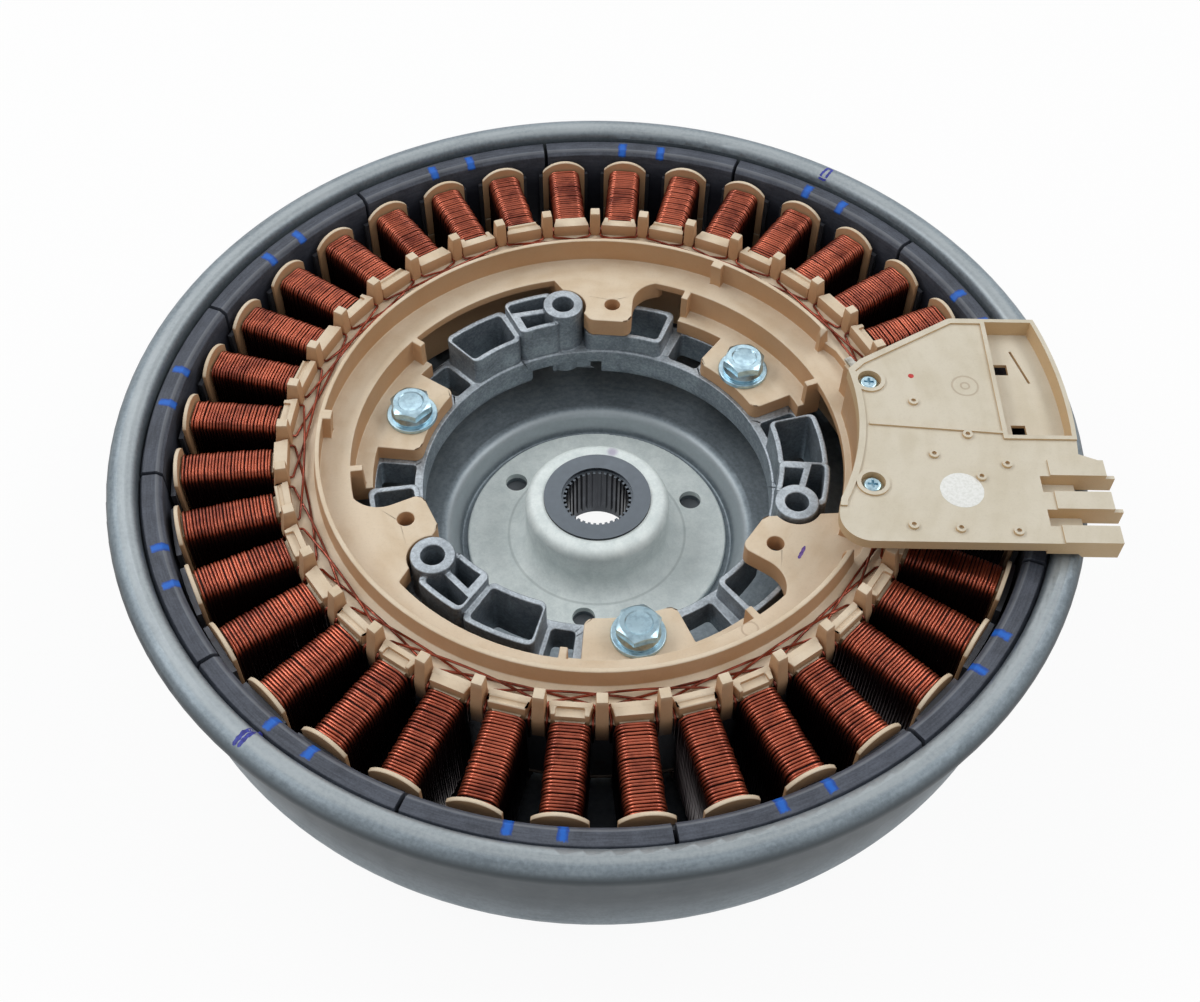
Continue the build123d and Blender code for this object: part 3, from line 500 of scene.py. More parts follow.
@dataclass(frozen=True)
class HubMoulding:
    """Pale glass-filled hub moulding with a faint turned groove and one purple smudge on its dome."""

    base: Colour = (232, 240, 238)
    cool: Colour = (208, 218, 217)
    groove: Colour = (140, 152, 152)
    groove_radii: Range = (29.6, 30.4)
    smudge: Colour = (128, 96, 150)
    smudge_place: tuple[float, float] = (3.5, 19.8)
    smudge_radii: Range = (2.0, 4.2)
    smudge_levels: Range = (19.0, 21.5)

    def build(self) -> bpy.types.Material:
        """Makes the material."""
        paint = Paint("hub moulding", Specular_IOR_Level=0.5)
        cloud = paint.noise(paint.place, 6.0, 4.0, 0.65)
        fibre = paint.noise(paint.place, 0.9, 3.0, 0.7)
        colour = paint.mix(paint.ease(cloud * 0.7 + fibre * 0.4, 0.35, 0.75), self.base, self.cool)
        ring = paint.band(paint.radius(), *self.groove_radii, 0.25)
        colour = paint.mix(ring * 0.35, colour, self.groove)
        blot = (1 - paint.ease(paint.spot(*self.smudge_place) + cloud * 3.0, *self.smudge_radii)) * \
            paint.ease(paint.z, *self.smudge_levels)
        colour = paint.mix(blot * 0.55, colour, self.smudge)
        paint.wear(Base_Color=colour, Roughness=0.36 + 0.22 * cloud,
                   Normal=paint.bump(fibre - ring * 2.0, 0.03))
        return paint.material


@dataclass(frozen=True)
class BushSteel:
    """Dark oiled sintered steel of the splined bush, with painted highlight on its upward faces."""

    base: Colour = (36, 41, 49)
    worn: Colour = (70, 76, 86)
    top: Colour = (118, 126, 134)

    def build(self) -> bpy.types.Material:
        """Makes the material."""
        paint = Paint("bush steel", Metallic=0.85, Coat_Roughness=0.2)
        pits = paint.noise(paint.place, 0.6, 3.0, 0.7)
        cloud = paint.noise(paint.place, 4.0, 2.0, 0.5)
        colour = paint.mix(paint.ease(cloud * 0.6 + pits * 0.5, 0.5, 0.85), self.base, self.worn)
        # Painted highlight: upward faces are lightened as if lit from above.
        colour = paint.mix(paint.ease(paint.facing_up(), 0.8, 0.98) * (1.1 - 0.4 * cloud), colour, self.top)
        paint.wear(Base_Color=colour, Roughness=0.24 + 0.2 * cloud, Coat_Weight=0.2 + 0.3 * cloud,
                   Normal=paint.bump(pits, 0.05))
        return paint.material


@dataclass(frozen=True)
class Laminations:
    """Edges of the stacked core sheets: one line for each sheet, with a little rust and varnish."""

    base: Colour = (84, 86, 92)
    gap: Colour = (34, 34, 38)
    rust: Colour = (104, 70, 50)
    sheet: float = 0.5

    def build(self) -> bpy.types.Material:
        """Makes the material."""
        paint = Paint("laminations", Metallic=0.6)
        wave = paint.math("SINE", paint.z * (2 * pi / self.sheet))
        aside = 1 - paint.ease(paint.math("ABSOLUTE", paint.facing_up()), 0.3, 0.7)
        groove = paint.ease(wave, 0.35, 0.95) * aside
        blot = paint.ease(paint.noise(paint.place, 6.0, 4.0, 0.65), 0.55, 0.8)
        colour = paint.mix(groove * 0.7, paint.mix(blot * 0.5, self.base, self.rust), self.gap)
        paint.wear(Base_Color=colour, Roughness=0.42 + 0.25 * blot, Normal=paint.bump(1 - groove, 0.05))
        return paint.material


@dataclass(frozen=True)
class BoardLacquer:
    """Green lacquer of the sensor board, with its copper tracks just showing through."""

    base: Colour = (28, 84, 52)
    track: Colour = (54, 116, 74)

    def build(self) -> bpy.types.Material:
        """Makes the material."""
        paint = Paint("board lacquer", Coat_Weight=0.3, Coat_Roughness=0.2)
        lane = paint.math("SINE", paint.y * 2.4 + paint.noise(paint.place, 9.0, 0.0) * 9.0)
        weave = paint.noise(paint.place, 0.6, 2.0, 0.5)
        tracks = paint.ease(lane, 0.1, 0.3)
        paint.wear(Base_Color=paint.mix(tracks * 0.8, self.base, self.track), Roughness=0.34 + 0.14 * weave,
                   Normal=paint.bump(tracks + weave * 0.3, 0.03))
        return paint.material


@dataclass(frozen=True)
class TinnedStrip:
    """Dull tinned brass of the phase terminals."""

    base: Colour = (196, 194, 186)
    dull: Colour = (150, 146, 136)

    def build(self) -> bpy.types.Material:
        """Makes the material."""
        paint = Paint("tinned strip", Metallic=0.95)
        haze = paint.noise(paint.place, 1.8, 3.0, 0.6)
        paint.wear(Base_Color=paint.mix(paint.ease(haze, 0.35, 0.7), self.base, self.dull),
                   Roughness=0.28 + 0.2 * haze, Normal=paint.bump(haze, 0.03))
        return paint.material


@dataclass(frozen=True)
class Ink:
    """Pen ink, paper or a painted dot: one hue that lies unevenly."""

    name: str = "blue ink"
    full: Colour = (24, 26, 118)
    thin: Colour = (52, 62, 168)
    gloss: float = 0.35

    def build(self) -> bpy.types.Material:
        """Makes the material."""
        paint = Paint(self.name)
        uneven = paint.noise(paint.place, 0.9, 3.0, 0.6)
        paint.wear(Base_Color=paint.mix(paint.ease(uneven, 0.35, 0.7), self.full, self.thin),
                   Roughness=self.gloss + 0.2 * uneven, Normal=paint.bump(uneven, 0.01))
        return paint.material


@dataclass(frozen=True)
class StudioWhite:
    """The pale table: white to the camera and in reflections, with the object's soft shadow kept.

    A ring under the rotor loses the white, so that real shade shows there, and is given a darker grey as
    painted shade.
    """

    white_share: float = 0.93
    pale: Colour = (233, 233, 233)
    grey: Colour = (112, 116, 120)
    grey_radii: Range = (24.0, 60.0)

    def build(self) -> bpy.types.Material:
        """Makes the material."""
        material = bpy.data.materials.new("studio white")
        material.use_nodes = True
        bench = Bench(material.node_tree)
        bench.tree.nodes.clear()
        rays = bench.node("ShaderNodeLightPath").outputs
        seen = bench.math("MAXIMUM", Value(bench, rays["Is Camera Ray"]), Value(bench, rays["Is Glossy Ray"]))
        seen = bench.math("MAXIMUM", seen, Value(bench, rays["Is Transmission Ray"]))
        place = bench.node("ShaderNodeNewGeometry").outputs["Position"]
        parts = bench.node("ShaderNodeSeparateXYZ", None, {0: place}).outputs
        x, y = Value(bench, parts[0]) / MM, Value(bench, parts[1]) / MM
        # Painted shade under the hub: in this ring the white is taken away and the table is given a darker
        # grey.
        below = bench.band((x * x + y * y) ** 0.5, *self.grey_radii, 3.0)
        seen = seen * (1 - below)
        tone = bench.mix(below, self.pale, self.grey)
        matt = bench.node("ShaderNodeBsdfDiffuse", None, {"Color": tone}).outputs[0]
        white = bench.node("ShaderNodeEmission", None, {"Color": (1, 1, 1, 1), "Strength": 1.0}).outputs[0]
        mixed = bench.node("ShaderNodeMixShader", None, {0: seen * self.white_share, 1: matt, 2: white})
        bench.node("ShaderNodeOutputMaterial", None, {"Surface": mixed.outputs[0]})
        return material


class Shelf:
    """Keeps each finish after it is first built."""

    made: dict[Any, bpy.types.Material] = {}

    @classmethod
    def take(cls, finish: Any) -> bpy.types.Material:
        """The material of a finish."""
        if finish not in cls.made:
            cls.made[finish] = finish.build()
        return cls.made[finish]


def dress(name: str, finish: Any) -> None:
    """Gives a CAD node that stays a finish."""
    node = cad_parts[name]
    for slot in node.material_slots:
        slot.material = Shelf.take(finish)
    LOG.info("%s keeps its CAD shape", name)


def settle(mesh: bpy.types.Mesh, name: str, finish: Any, body: Body,
           nodes: Sequence[str] = ()) -> None:
    """Puts a finished mesh in the scene and hands it to its body.

    Args:
        mesh: The mesh, with its place in it, in metres.
        name: The piece's name.
        finish: The finish that it is given.
        body: The body that it rides on.
        nodes: CAD nodes that it stands for.
    """
    mesh.name = name
    mesh.materials.clear()
    mesh.materials.append(Shelf.take(finish))
    piece = carrier_of(mesh, name)
    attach(piece, body.value)
    if nodes:
        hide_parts(*nodes)
    mesh.calc_loop_triangles()
    LOG.info("%s: %d triangles", name, len(mesh.loop_triangles))


def mesh_of(work: bmesh.types.BMesh, name: str, scale: float = MM, sharp: float = 40.0) -> bpy.types.Mesh:
    """Closes a mesh built in millimetres: doubles merged, faces outwards, smooth but for sharp edges.

    Args:
        work: The mesh, which is freed.
        name: The name of the mesh.
        scale: Metres in one of its units.
        sharp: Angle in degrees past which an edge stays sharp.

    Returns:
        The mesh in metres.
    """
    bmesh.ops.remove_doubles(work, verts=work.verts, dist=1e-4)
    bmesh.ops.recalc_face_normals(work, faces=work.faces)
    bmesh.ops.scale(work, vec=Vector((scale,) * 3), verts=work.verts)
    mesh = bpy.data.meshes.new(name)
    work.to_mesh(mesh)
    work.free()
    for face in mesh.polygons:
        face.use_smooth = True
    mesh.set_sharp_from_angle(angle=radians(sharp))
    return mesh


def bridge(work: bmesh.types.BMesh, rings: Sequence[Sequence[bmesh.types.BMVert]],
           looped: bool = False) -> None:
    """Joins rings of points by bands of faces, and closes both ends or joins the last ring to the first.

    Args:
        work: The mesh that the points are in.
        rings: Rings with the same number of points each.
        looped: Whether the last ring is joined to the first.
    """
    pairs = list(zip(rings, rings[1:])) + ([(rings[-1], rings[0])] if looped else [])
    for low, high in pairs:
        for place in range(len(low)):
            after = (place + 1) % len(low)
            work.faces.new((low[place], low[after], high[after], high[place]))
    if not looped:
        work.faces.new(rings[0][::-1])
        work.faces.new(rings[-1])


def settled_mesh(carrier: bpy.types.Object) -> bpy.types.Mesh:
    """Turns an object with live modifiers, or a curve, into a plain mesh and removes the object."""
    graph = bpy.context.evaluated_depsgraph_get()
    graph.update()
    mesh = bpy.data.meshes.new_from_object(carrier.evaluated_get(graph), depsgraph=graph)
    for modifier in list(carrier.modifiers):
        carrier.modifiers.remove(modifier)
    bpy.data.objects.remove(carrier)
    return mesh


def carrier_of(data: Any, name: str) -> bpy.types.Object:
    """A new object in the scene that carries a mesh, curve, lamp or camera."""
    carrier = bpy.data.objects.new(name, data)
    bpy.context.scene.collection.objects.link(carrier)
    return carrier


def new_tree(name: str, inputs: dict[str, str]) -> tuple[Bench, dict[str, bpy.types.NodeSocket]]:
    """Starts a Geometry Nodes tree.

    Args:
        name: The tree's name.
        inputs: The kind of each named input.

    Returns:
        The bench that its nodes are made on, and the socket that gives each input.
    """
    tree = bpy.data.node_groups.new(name, "GeometryNodeTree")
    tree.interface.new_socket(name="Geometry", in_out="OUTPUT", socket_type="NodeSocketGeometry")
    for key, kind in inputs.items():
        tree.interface.new_socket(name=key, in_out="INPUT", socket_type="NodeSocket" + kind)
    bench = Bench(tree)
    given = bench.node("NodeGroupInput").outputs
    return bench, {key: given[key] for key in inputs}


def finish_tree(bench: Bench, placed: bpy.types.Node, material: bpy.types.NodeSocket) -> bpy.types.NodeTree:
    """Ends a tree of instances: they are made real and given their material."""
    real = bench.node("GeometryNodeRealizeInstances", None, {"Geometry": placed.outputs[0]})
    painted = bench.node("GeometryNodeSetMaterial", None, {"Geometry": real.outputs[0], "Material": material})
    bench.node("NodeGroupOutput", None, {"Geometry": painted.outputs[0]})
    return bench.tree


def grown_mesh(start: bpy.types.Mesh, tree: bpy.types.NodeTree, given: dict[str, Any]) -> bpy.types.Mesh:
    """Runs a Geometry Nodes tree on a mesh.

    Args:
        start: The mesh that the tree gets.
        tree: The tree.
        given: Values of its inputs by name.

    Returns:
        Its result as a plain mesh.
    """
    carrier = carrier_of(start, "grown work")
    modifier = carrier.modifiers.new("grow", "NODES")
    modifier.node_group = tree
    for item in tree.interface.items_tree:
        if item.item_type == "SOCKET" and item.in_out == "INPUT" and item.name in given:
            modifier[item.identifier] = given[item.name]
    return settled_mesh(carrier)


def eased_mesh(node: str, width: float, limit: float = 32.0,
               reshape: Callable[[Vector], Vector] | None = None) -> bpy.types.Mesh:
    """A copy of a CAD node's mesh with its sharp edges rounded.

    Args:
        node: The CAD node.
        width: How far the rounding reaches from the edge, in millimetres.
        limit: Angle in degrees past which an edge is rounded.
        reshape: Moves a point, in millimetres, before the edges are rounded.

    Returns:
        The rounded mesh, inside the box of the copy.
    """
    work = bmesh.new()
    work.from_mesh(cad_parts[node].data)
    bmesh.ops.remove_doubles(work, verts=work.verts, dist=1e-6)
    bmesh.ops.dissolve_limit(work, angle_limit=radians(0.6), verts=work.verts, edges=work.edges)
    bmesh.ops.triangulate(work, faces=work.faces, quad_method="BEAUTY", ngon_method="BEAUTY")
    if reshape:
        for vert in work.verts:
            vert.co = reshape(vert.co / MM) * MM
    low = [min(vert.co[axis] for vert in work.verts) for axis in range(3)]
    high = [max(vert.co[axis] for vert in work.verts) for axis in range(3)]
    before = sum(face.calc_area() for face in work.faces)
    copy = bpy.data.meshes.new(node + "_copy")
    work.to_mesh(copy)
    work.free()
    for face in copy.polygons:
        face.use_smooth = True
    carrier = carrier_of(copy, node + "_work")
    bevel = carrier.modifiers.new("ease", "BEVEL")
    bevel.width = width * MM
    bevel.segments = 2
    bevel.limit_method = "ANGLE"
    bevel.angle_limit = radians(limit)
    bevel.use_clamp_overlap = False
    bevel.miter_outer = "MITER_SHARP"
    weight = carrier.modifiers.new("even shading", "WEIGHTED_NORMAL")
    weight.keep_sharp = True
    weight.weight = 80
    mesh = settled_mesh(carrier)
    for vertex in mesh.vertices:
        vertex.co = [min(max(place, start), end) for place, start, end in zip(vertex.co, low, high)]
    LOG.info("%s: area %.3f of the solid's", node, sum(face.area for face in mesh.polygons) / before)
    return mesh


@dataclass
class Winding:
    """The three phases: twelve coils each, wound with one visible layer of round wire on a bed coloured dark
    as painted shade.
    """

    coils: int = 12
    turns: int = 27
    step: float = 30.0
    phase_step: float = 10.0
    inner_radius: float = 101.5
    outer_radius: float = 128.75
    half_width: float = 5.35
    half_height: float = 18.35
    corner: float = 2.7
    middle: float = 35.5
    wire_radius: float = 0.43
    crown: float = 0.018
    wander: float = 0.06
    bed_inset: float = 0.34
    bore_half_width: float = 4.05
    bore_half_height: float = 17.05
    bore_corner: float = 0.6
    seed: int = 5

    def coil_tree(self) -> bpy.types.NodeTree:
        """Builds the node tree that winds the coils of one phase.

        Returns:
            The tree, with named inputs for its sizes, its seed and its material.
        """
        names = {"Coils": "Int", "Turns": "Int", "Seed": "Int", "First Angle": "Float", "Coil Step": "Float",
                 "Inner Radius": "Float", "Outer Radius": "Float", "Half Width": "Float",
                 "Half Height": "Float", "Corner": "Float", "Wire Radius": "Float", "Middle": "Float",
                 "Crown": "Float", "Wander": "Float", "Material": "Material"}
        bench, given = new_tree("wound coils", names)
        size = {name: Value(bench, socket) for name, socket in given.items()}
        outline = bench.node("GeometryNodeCurvePrimitiveQuadrilateral", {"mode": "RECTANGLE"},
                             {"Width": size["Half Width"] * 2, "Height": size["Half Height"] * 2})
        rounded = bench.node("GeometryNodeFilletCurve", {"mode": "POLY"},
                             {"Curve": outline.outputs[0], "Count": 3, "Radius": size["Corner"]})
        section = bench.node("GeometryNodeCurvePrimitiveCircle", {"mode": "RADIUS"},
                             {"Resolution": 6, "Radius": size["Wire Radius"]})
        wire = bench.node("GeometryNodeCurveToMesh", None,
                          {"Curve": rounded.outputs[0], "Profile Curve": section.outputs[0]})
        smooth = bench.node("GeometryNodeSetShadeSmooth", None, {"Geometry": wire.outputs[0]})
        stood = bench.node("GeometryNodeTransform", None,
                           {"Geometry": smooth.outputs[0], "Rotation": (pi / 2, 0.0, pi / 2)})
        index = Value(bench, bench.node("GeometryNodeInputIndex").outputs[0])
        turn = bench.math("FLOORED_MODULO", index, size["Turns"])
        coil = bench.math("FLOOR", (index + 0.5) / size["Turns"])
        share = (turn + 0.5) / size["Turns"]
        drift = Value(bench, bench.node("ShaderNodeTexNoise", None, {
            "Vector": bench.vector(coil * 5.37 + size["Seed"], turn * 0.31, 0.0), "Scale": 1.0,
            "Detail": 1.0}).outputs[0])
        shakes = []
        for number in range(4):
            shake = bench.node("FunctionNodeRandomValue", {"data_type": "FLOAT"},
                               {2: -1.0, 3: 1.0, 7: index, 8: size["Seed"] + number * 11})
            shakes.append(Value(bench, shake.outputs[1]))
        reach = size["Inner Radius"] + (size["Outer Radius"] - size["Inner Radius"]) * share
        reach = reach + ((drift - 0.5) * 4.0 + shakes[0] * 0.8) * size["Wander"]
        angle = size["First Angle"] + size["Coil Step"] * coil
        points = bench.node("GeometryNodePoints", None, {
            "Count": size["Coils"] * size["Turns"],
            "Position": bench.vector(reach * bench.math("COSINE", angle), reach * bench.math("SINE", angle),
                                     size["Middle"] + shakes[1] * size["Wander"] * 0.5)})
        bulge = (share * 2 - 1) ** 2
        wide = 1 + (1 - bulge) * size["Crown"] * 0.4 + shakes[2] * 0.004
        tall = 1 + (1 - bulge) * size["Crown"] * 0.6 + shakes[3] * 0.004
        placed = bench.node("GeometryNodeInstanceOnPoints", None, {
            "Points": points.outputs[0], "Instance": stood.outputs[0],
            "Rotation": bench.vector(shakes[1] * 0.012, shakes[2] * 0.006, angle + shakes[3] * 0.012),
            "Scale": bench.vector(1.0, wide, tall)})
        return finish_tree(bench, placed, given["Material"])

    def wires(self, tree: bpy.types.NodeTree, phase: int, finish: Enamel) -> bpy.types.Mesh:
        """The visible turns of one phase.

        Args:
            tree: The tree that winds them.
            phase: Number of the phase from 0.
            finish: The wire's finish.

        Returns:
            One mesh of all its coils.
        """
        given = {"Coils": self.coils, "Turns": self.turns, "Seed": self.seed + phase,
                 "First Angle": radians(self.phase_step * phase), "Coil Step": radians(self.step),
                 "Inner Radius": self.inner_radius * MM, "Outer Radius": self.outer_radius * MM,
                 "Half Width": self.half_width * MM, "Half Height": self.half_height * MM,
                 "Corner": self.corner * MM, "Wire Radius": self.wire_radius * MM,
                 "Middle": self.middle * MM, "Crown": self.crown, "Wander": self.wander * MM,
                 "Material": Shelf.take(finish)}
        mesh = grown_mesh(bpy.data.meshes.new("coil seed"), tree, given)
        work = bmesh.new()
        work.from_mesh(mesh)
        bmesh.ops.remove_doubles(work, verts=work.verts, dist=1e-7)
        bmesh.ops.recalc_face_normals(work, faces=work.faces)
        work.to_mesh(mesh)
        work.free()
        return mesh

    def loop(self, half_width: float, half_height: float, corner: float) -> list[tuple[float, float]]:
        """A rounded rectangle with three points at each corner."""
        points = []
        for side, (x, y) in enumerate(((1, 1), (-1, 1), (-1, -1), (1, -1))):
            for step in range(3):
                turn = radians(90 * side + 45 * step)
                points.append((x * (half_width - corner) + corner * cos(turn),
                               y * (half_height - corner) + corner * sin(turn)))
        return points

    def bed(self, phase: int) -> bpy.types.Mesh:
        """The hidden inner layer of one phase, as rounded sleeves round the teeth."""
        work = bmesh.new()
        inset = self.bed_inset
        outer = self.loop(self.half_width - inset, self.half_height - inset, self.corner)
        inner = self.loop(self.bore_half_width, self.bore_half_height, self.bore_corner)
        for coil in range(self.coils):
            turn = Matrix.Rotation(radians(self.phase_step * phase + self.step * coil), 3, "Z")
            rings = []
            for loop, radius in ((inner, self.inner_radius), (outer, self.inner_radius),
                                 (outer, self.outer_radius), (inner, self.outer_radius)):
                places = [Vector((radius, x, self.middle + y)) for x, y in loop]
                rings.append([work.verts.new(turn @ place) for place in places])
            bridge(work, rings, True)
        return mesh_of(work, "bed")

    def build(self) -> None:
        """Winds all three phases."""
        tree = self.coil_tree()
        finish = Enamel()
        for phase, letter in enumerate("uvw"):
            settle(self.wires(tree, phase, finish), "winding_wires_" + letter, finish, Body.STATOR,
                   ("winding_" + letter,))
            settle(self.bed(phase), "winding_bed_" + letter, CoilBed(), Body.STATOR)


@dataclass
class Crossovers:
    """Wires that pass from coil to coil on the ledge, down beside the pegs at both their ends."""

    pegs: int = 36
    span: int = 3
    peg_step: float = 10.0
    ledge: float = 51.5
    wire_radius: float = 0.4
    slot_radius: float = 101.4
    slot_level: float = 43.0
    lift: float = 0.8

    def beside(self, angle: float, radius: float, offset: float, level: float) -> Vector:
        """A point at a radius and so many millimetres beside a peg's middle line."""
        return polar(hypot(radius, offset), angle + degrees(atan2(offset, radius)), level)

    def route(self, start: int, phase: int, shake: random.Random) -> list[Vector]:
        """The points that one wire follows, in millimetres.

        Args:
            start: Number of the peg where it leaves its coil.
            phase: Number of the phase, which says how high it lies where wires cross.
            shake: Source of small unevenness.

        Returns:
            Points from the first slot to the last.
        """
        first = (start + 0.5) * self.peg_step
        last = first + self.span * self.peg_step
        low = self.ledge + self.wire_radius
        rise = self.lift * phase
        ends = []
        for angle, side in ((first, 1), (last, -1)):
            near = shake.uniform(-0.2, 0.25)
            steps = ((self.slot_radius, 2.5, self.slot_level), (self.slot_radius, 2.5, low - 2.2),
                     (self.slot_radius - 0.45, 2.5, low + 0.15), (99.0, 2.45, low + 0.5 + near),
                     (97.0, 2.15, low + 0.5 + near), (95.7, 1.75, low + 0.4 + near),
                     (94.9, 2.2, low + 0.2 + rise * 0.2), (94.3 + near, 4.2, low + 0.1 + rise * 0.4))
            ends.append([self.beside(angle, radius, side * offset, level) for radius, offset, level in steps])
        start_point, end_point = ends[0][-1], ends[1][-1]
        chord = []
        for share in (0.2, 0.5, 0.8):
            place = start_point.lerp(end_point, share) * (0.991 if share == 0.5 else 0.994)
            place.z = low + rise * (1.0 if share == 0.5 else 0.75)
            chord.append(place)
        return ends[0] + chord + ends[1][::-1]

    def build(self) -> None:
        """Makes the wires of the three phases."""
        shake = random.Random(20)
        # Its third colour and turn range give painted shade on the wires' undersides and where they dip into
        # the slots.
        finish = Enamel("crossover enamel", (160, 76, 54), (90, 36, 26), (34, 14, 12), (-1.4, -0.4))
        for phase, letter in enumerate("uvw"):
            curve = bpy.data.curves.new("crossover line", "CURVE")
            curve.dimensions = "3D"
            curve.bevel_depth = self.wire_radius * MM
            curve.bevel_resolution = 1
            curve.resolution_u = 5
            curve.use_fill_caps = True
            for start in range(phase, self.pegs, self.span):
                points = self.route(start, phase, shake)
                spline = curve.splines.new("NURBS")
                spline.points.add(len(points) - 1)
                for target, point in zip(spline.points, points):
                    target.co = (*(point * MM), 1.0)
                spline.order_u = 3
                spline.use_endpoint_u = True
            mesh = settled_mesh(carrier_of(curve, "crossover work"))
            work = bmesh.new()
            work.from_mesh(mesh)
            settle(mesh_of(work, "crossover", 1.0, 60.0), "crossover_wires_" + letter, finish, Body.STATOR,
                   ("crossover_" + letter,))


@dataclass
class MountingHardware:
    """The cast ring with its three bolts and washers."""

    bolt_circle: float = 65.0
    first_angle: float = 45.0
    step: float = 120.0
    across_flats: float = 12.2
    hex_top: float = 45.9
    bevel_angle: float = 30.0
    face_share: float = 0.93
    cone_radius: float = 6.8
    cone_foot: float = 40.3
    cone_edge: float = 41.1
    cone_top_radius: float = 6.1
    cone_top: float = 42.7
    dish_radius: float = 3.9
    dish_depth: float = 0.5
    shank_radius: float = 3.0
    shank_end: float = 25.0
    points_per_side: int = 8

    def hex_ring(self, twist: float) -> list[tuple[float, float]]:
        """Angle and radius of each point round the hexagon."""
        ring = []
        for place in range(6 * self.points_per_side):
            turn = 360 / (6 * self.points_per_side) * place
            from_flat = (turn % 60) - 30
            ring.append((turn + twist, self.across_flats / 2 / cos(radians(from_flat))))
        return ring

    def bolt(self, angle: float, twist: float) -> bpy.types.Mesh:
        """One hexagon bolt with a cone under its head, a chamfered crown and a dished top.

        Args:
            angle: Its place on the bolt circle, in degrees.
            twist: How far its flats are turned.

        Returns:
            Its mesh.
        """
        work = bmesh.new()
        middle = polar(self.bolt_circle, angle)
        hexagon = self.hex_ring(twist)
        flat = self.across_flats / 2
        face = flat * self.face_share
        slope = tan(radians(self.bevel_angle))
        crown = [(turn, radius, self.hex_top - (radius - face) * slope) for turn, radius in hexagon]
        plain = [turn for turn, _ in hexagon]
        rows = [
            [(turn, self.shank_radius, self.shank_end) for turn in plain],
            [(turn, self.shank_radius, self.cone_foot) for turn in plain],
            [(turn, self.cone_radius - 0.2, self.cone_foot) for turn in plain],
            [(turn, self.cone_radius, self.cone_foot + 0.2) for turn in plain],
            [(turn, self.cone_radius, self.cone_edge) for turn in plain],
            [(turn, self.cone_radius - 0.2, self.cone_edge + 0.35) for turn in plain],
            [(turn, self.cone_top_radius, self.cone_top - 0.3) for turn in plain],
            [(turn, flat * 0.97 + 0.03, self.cone_top) for turn in plain],
            [(turn, radius - 0.06, self.cone_top + 0.05) for turn, radius in hexagon],
            [(turn, radius, self.cone_top + 0.4) for turn, radius in hexagon],
            crown,
            [(turn, face, self.hex_top) for turn in plain],
            [(turn, self.dish_radius + 0.4, self.hex_top) for turn in plain],
            [(turn, self.dish_radius, self.hex_top - self.dish_depth * 0.7) for turn in plain],
            [(turn, self.dish_radius * 0.5, self.hex_top - self.dish_depth) for turn in plain],
        ]
        rings = [[work.verts.new(middle + polar(radius, turn, level)) for turn, radius, level in row]
                 for row in rows]
        bridge(work, rings)
        return mesh_of(work, "bolt", sharp=28.0)

    def build(self) -> None:
        """Makes the ring, bolts and washers."""
        settle(eased_mesh("mounting_ring", 0.45), "mounting_ring_casting", CastAluminium(), Body.STATOR,
               ("mounting_ring",))
        for number, twist in enumerate((14.0, -9.0, 22.0)):
            angle = self.first_angle + self.step * number
            settle(self.bolt(angle, twist), f"hex_bolt_{number + 1}", ZincPlate(), Body.STATOR,
                   (f"mounting_bolt_{number + 1}",))
            settle(eased_mesh(f"bolt_washer_{number + 1}", 0.3), f"plain_washer_{number + 1}", ZincPlate(),
                   Body.STATOR, (f"bolt_washer_{number + 1}",))


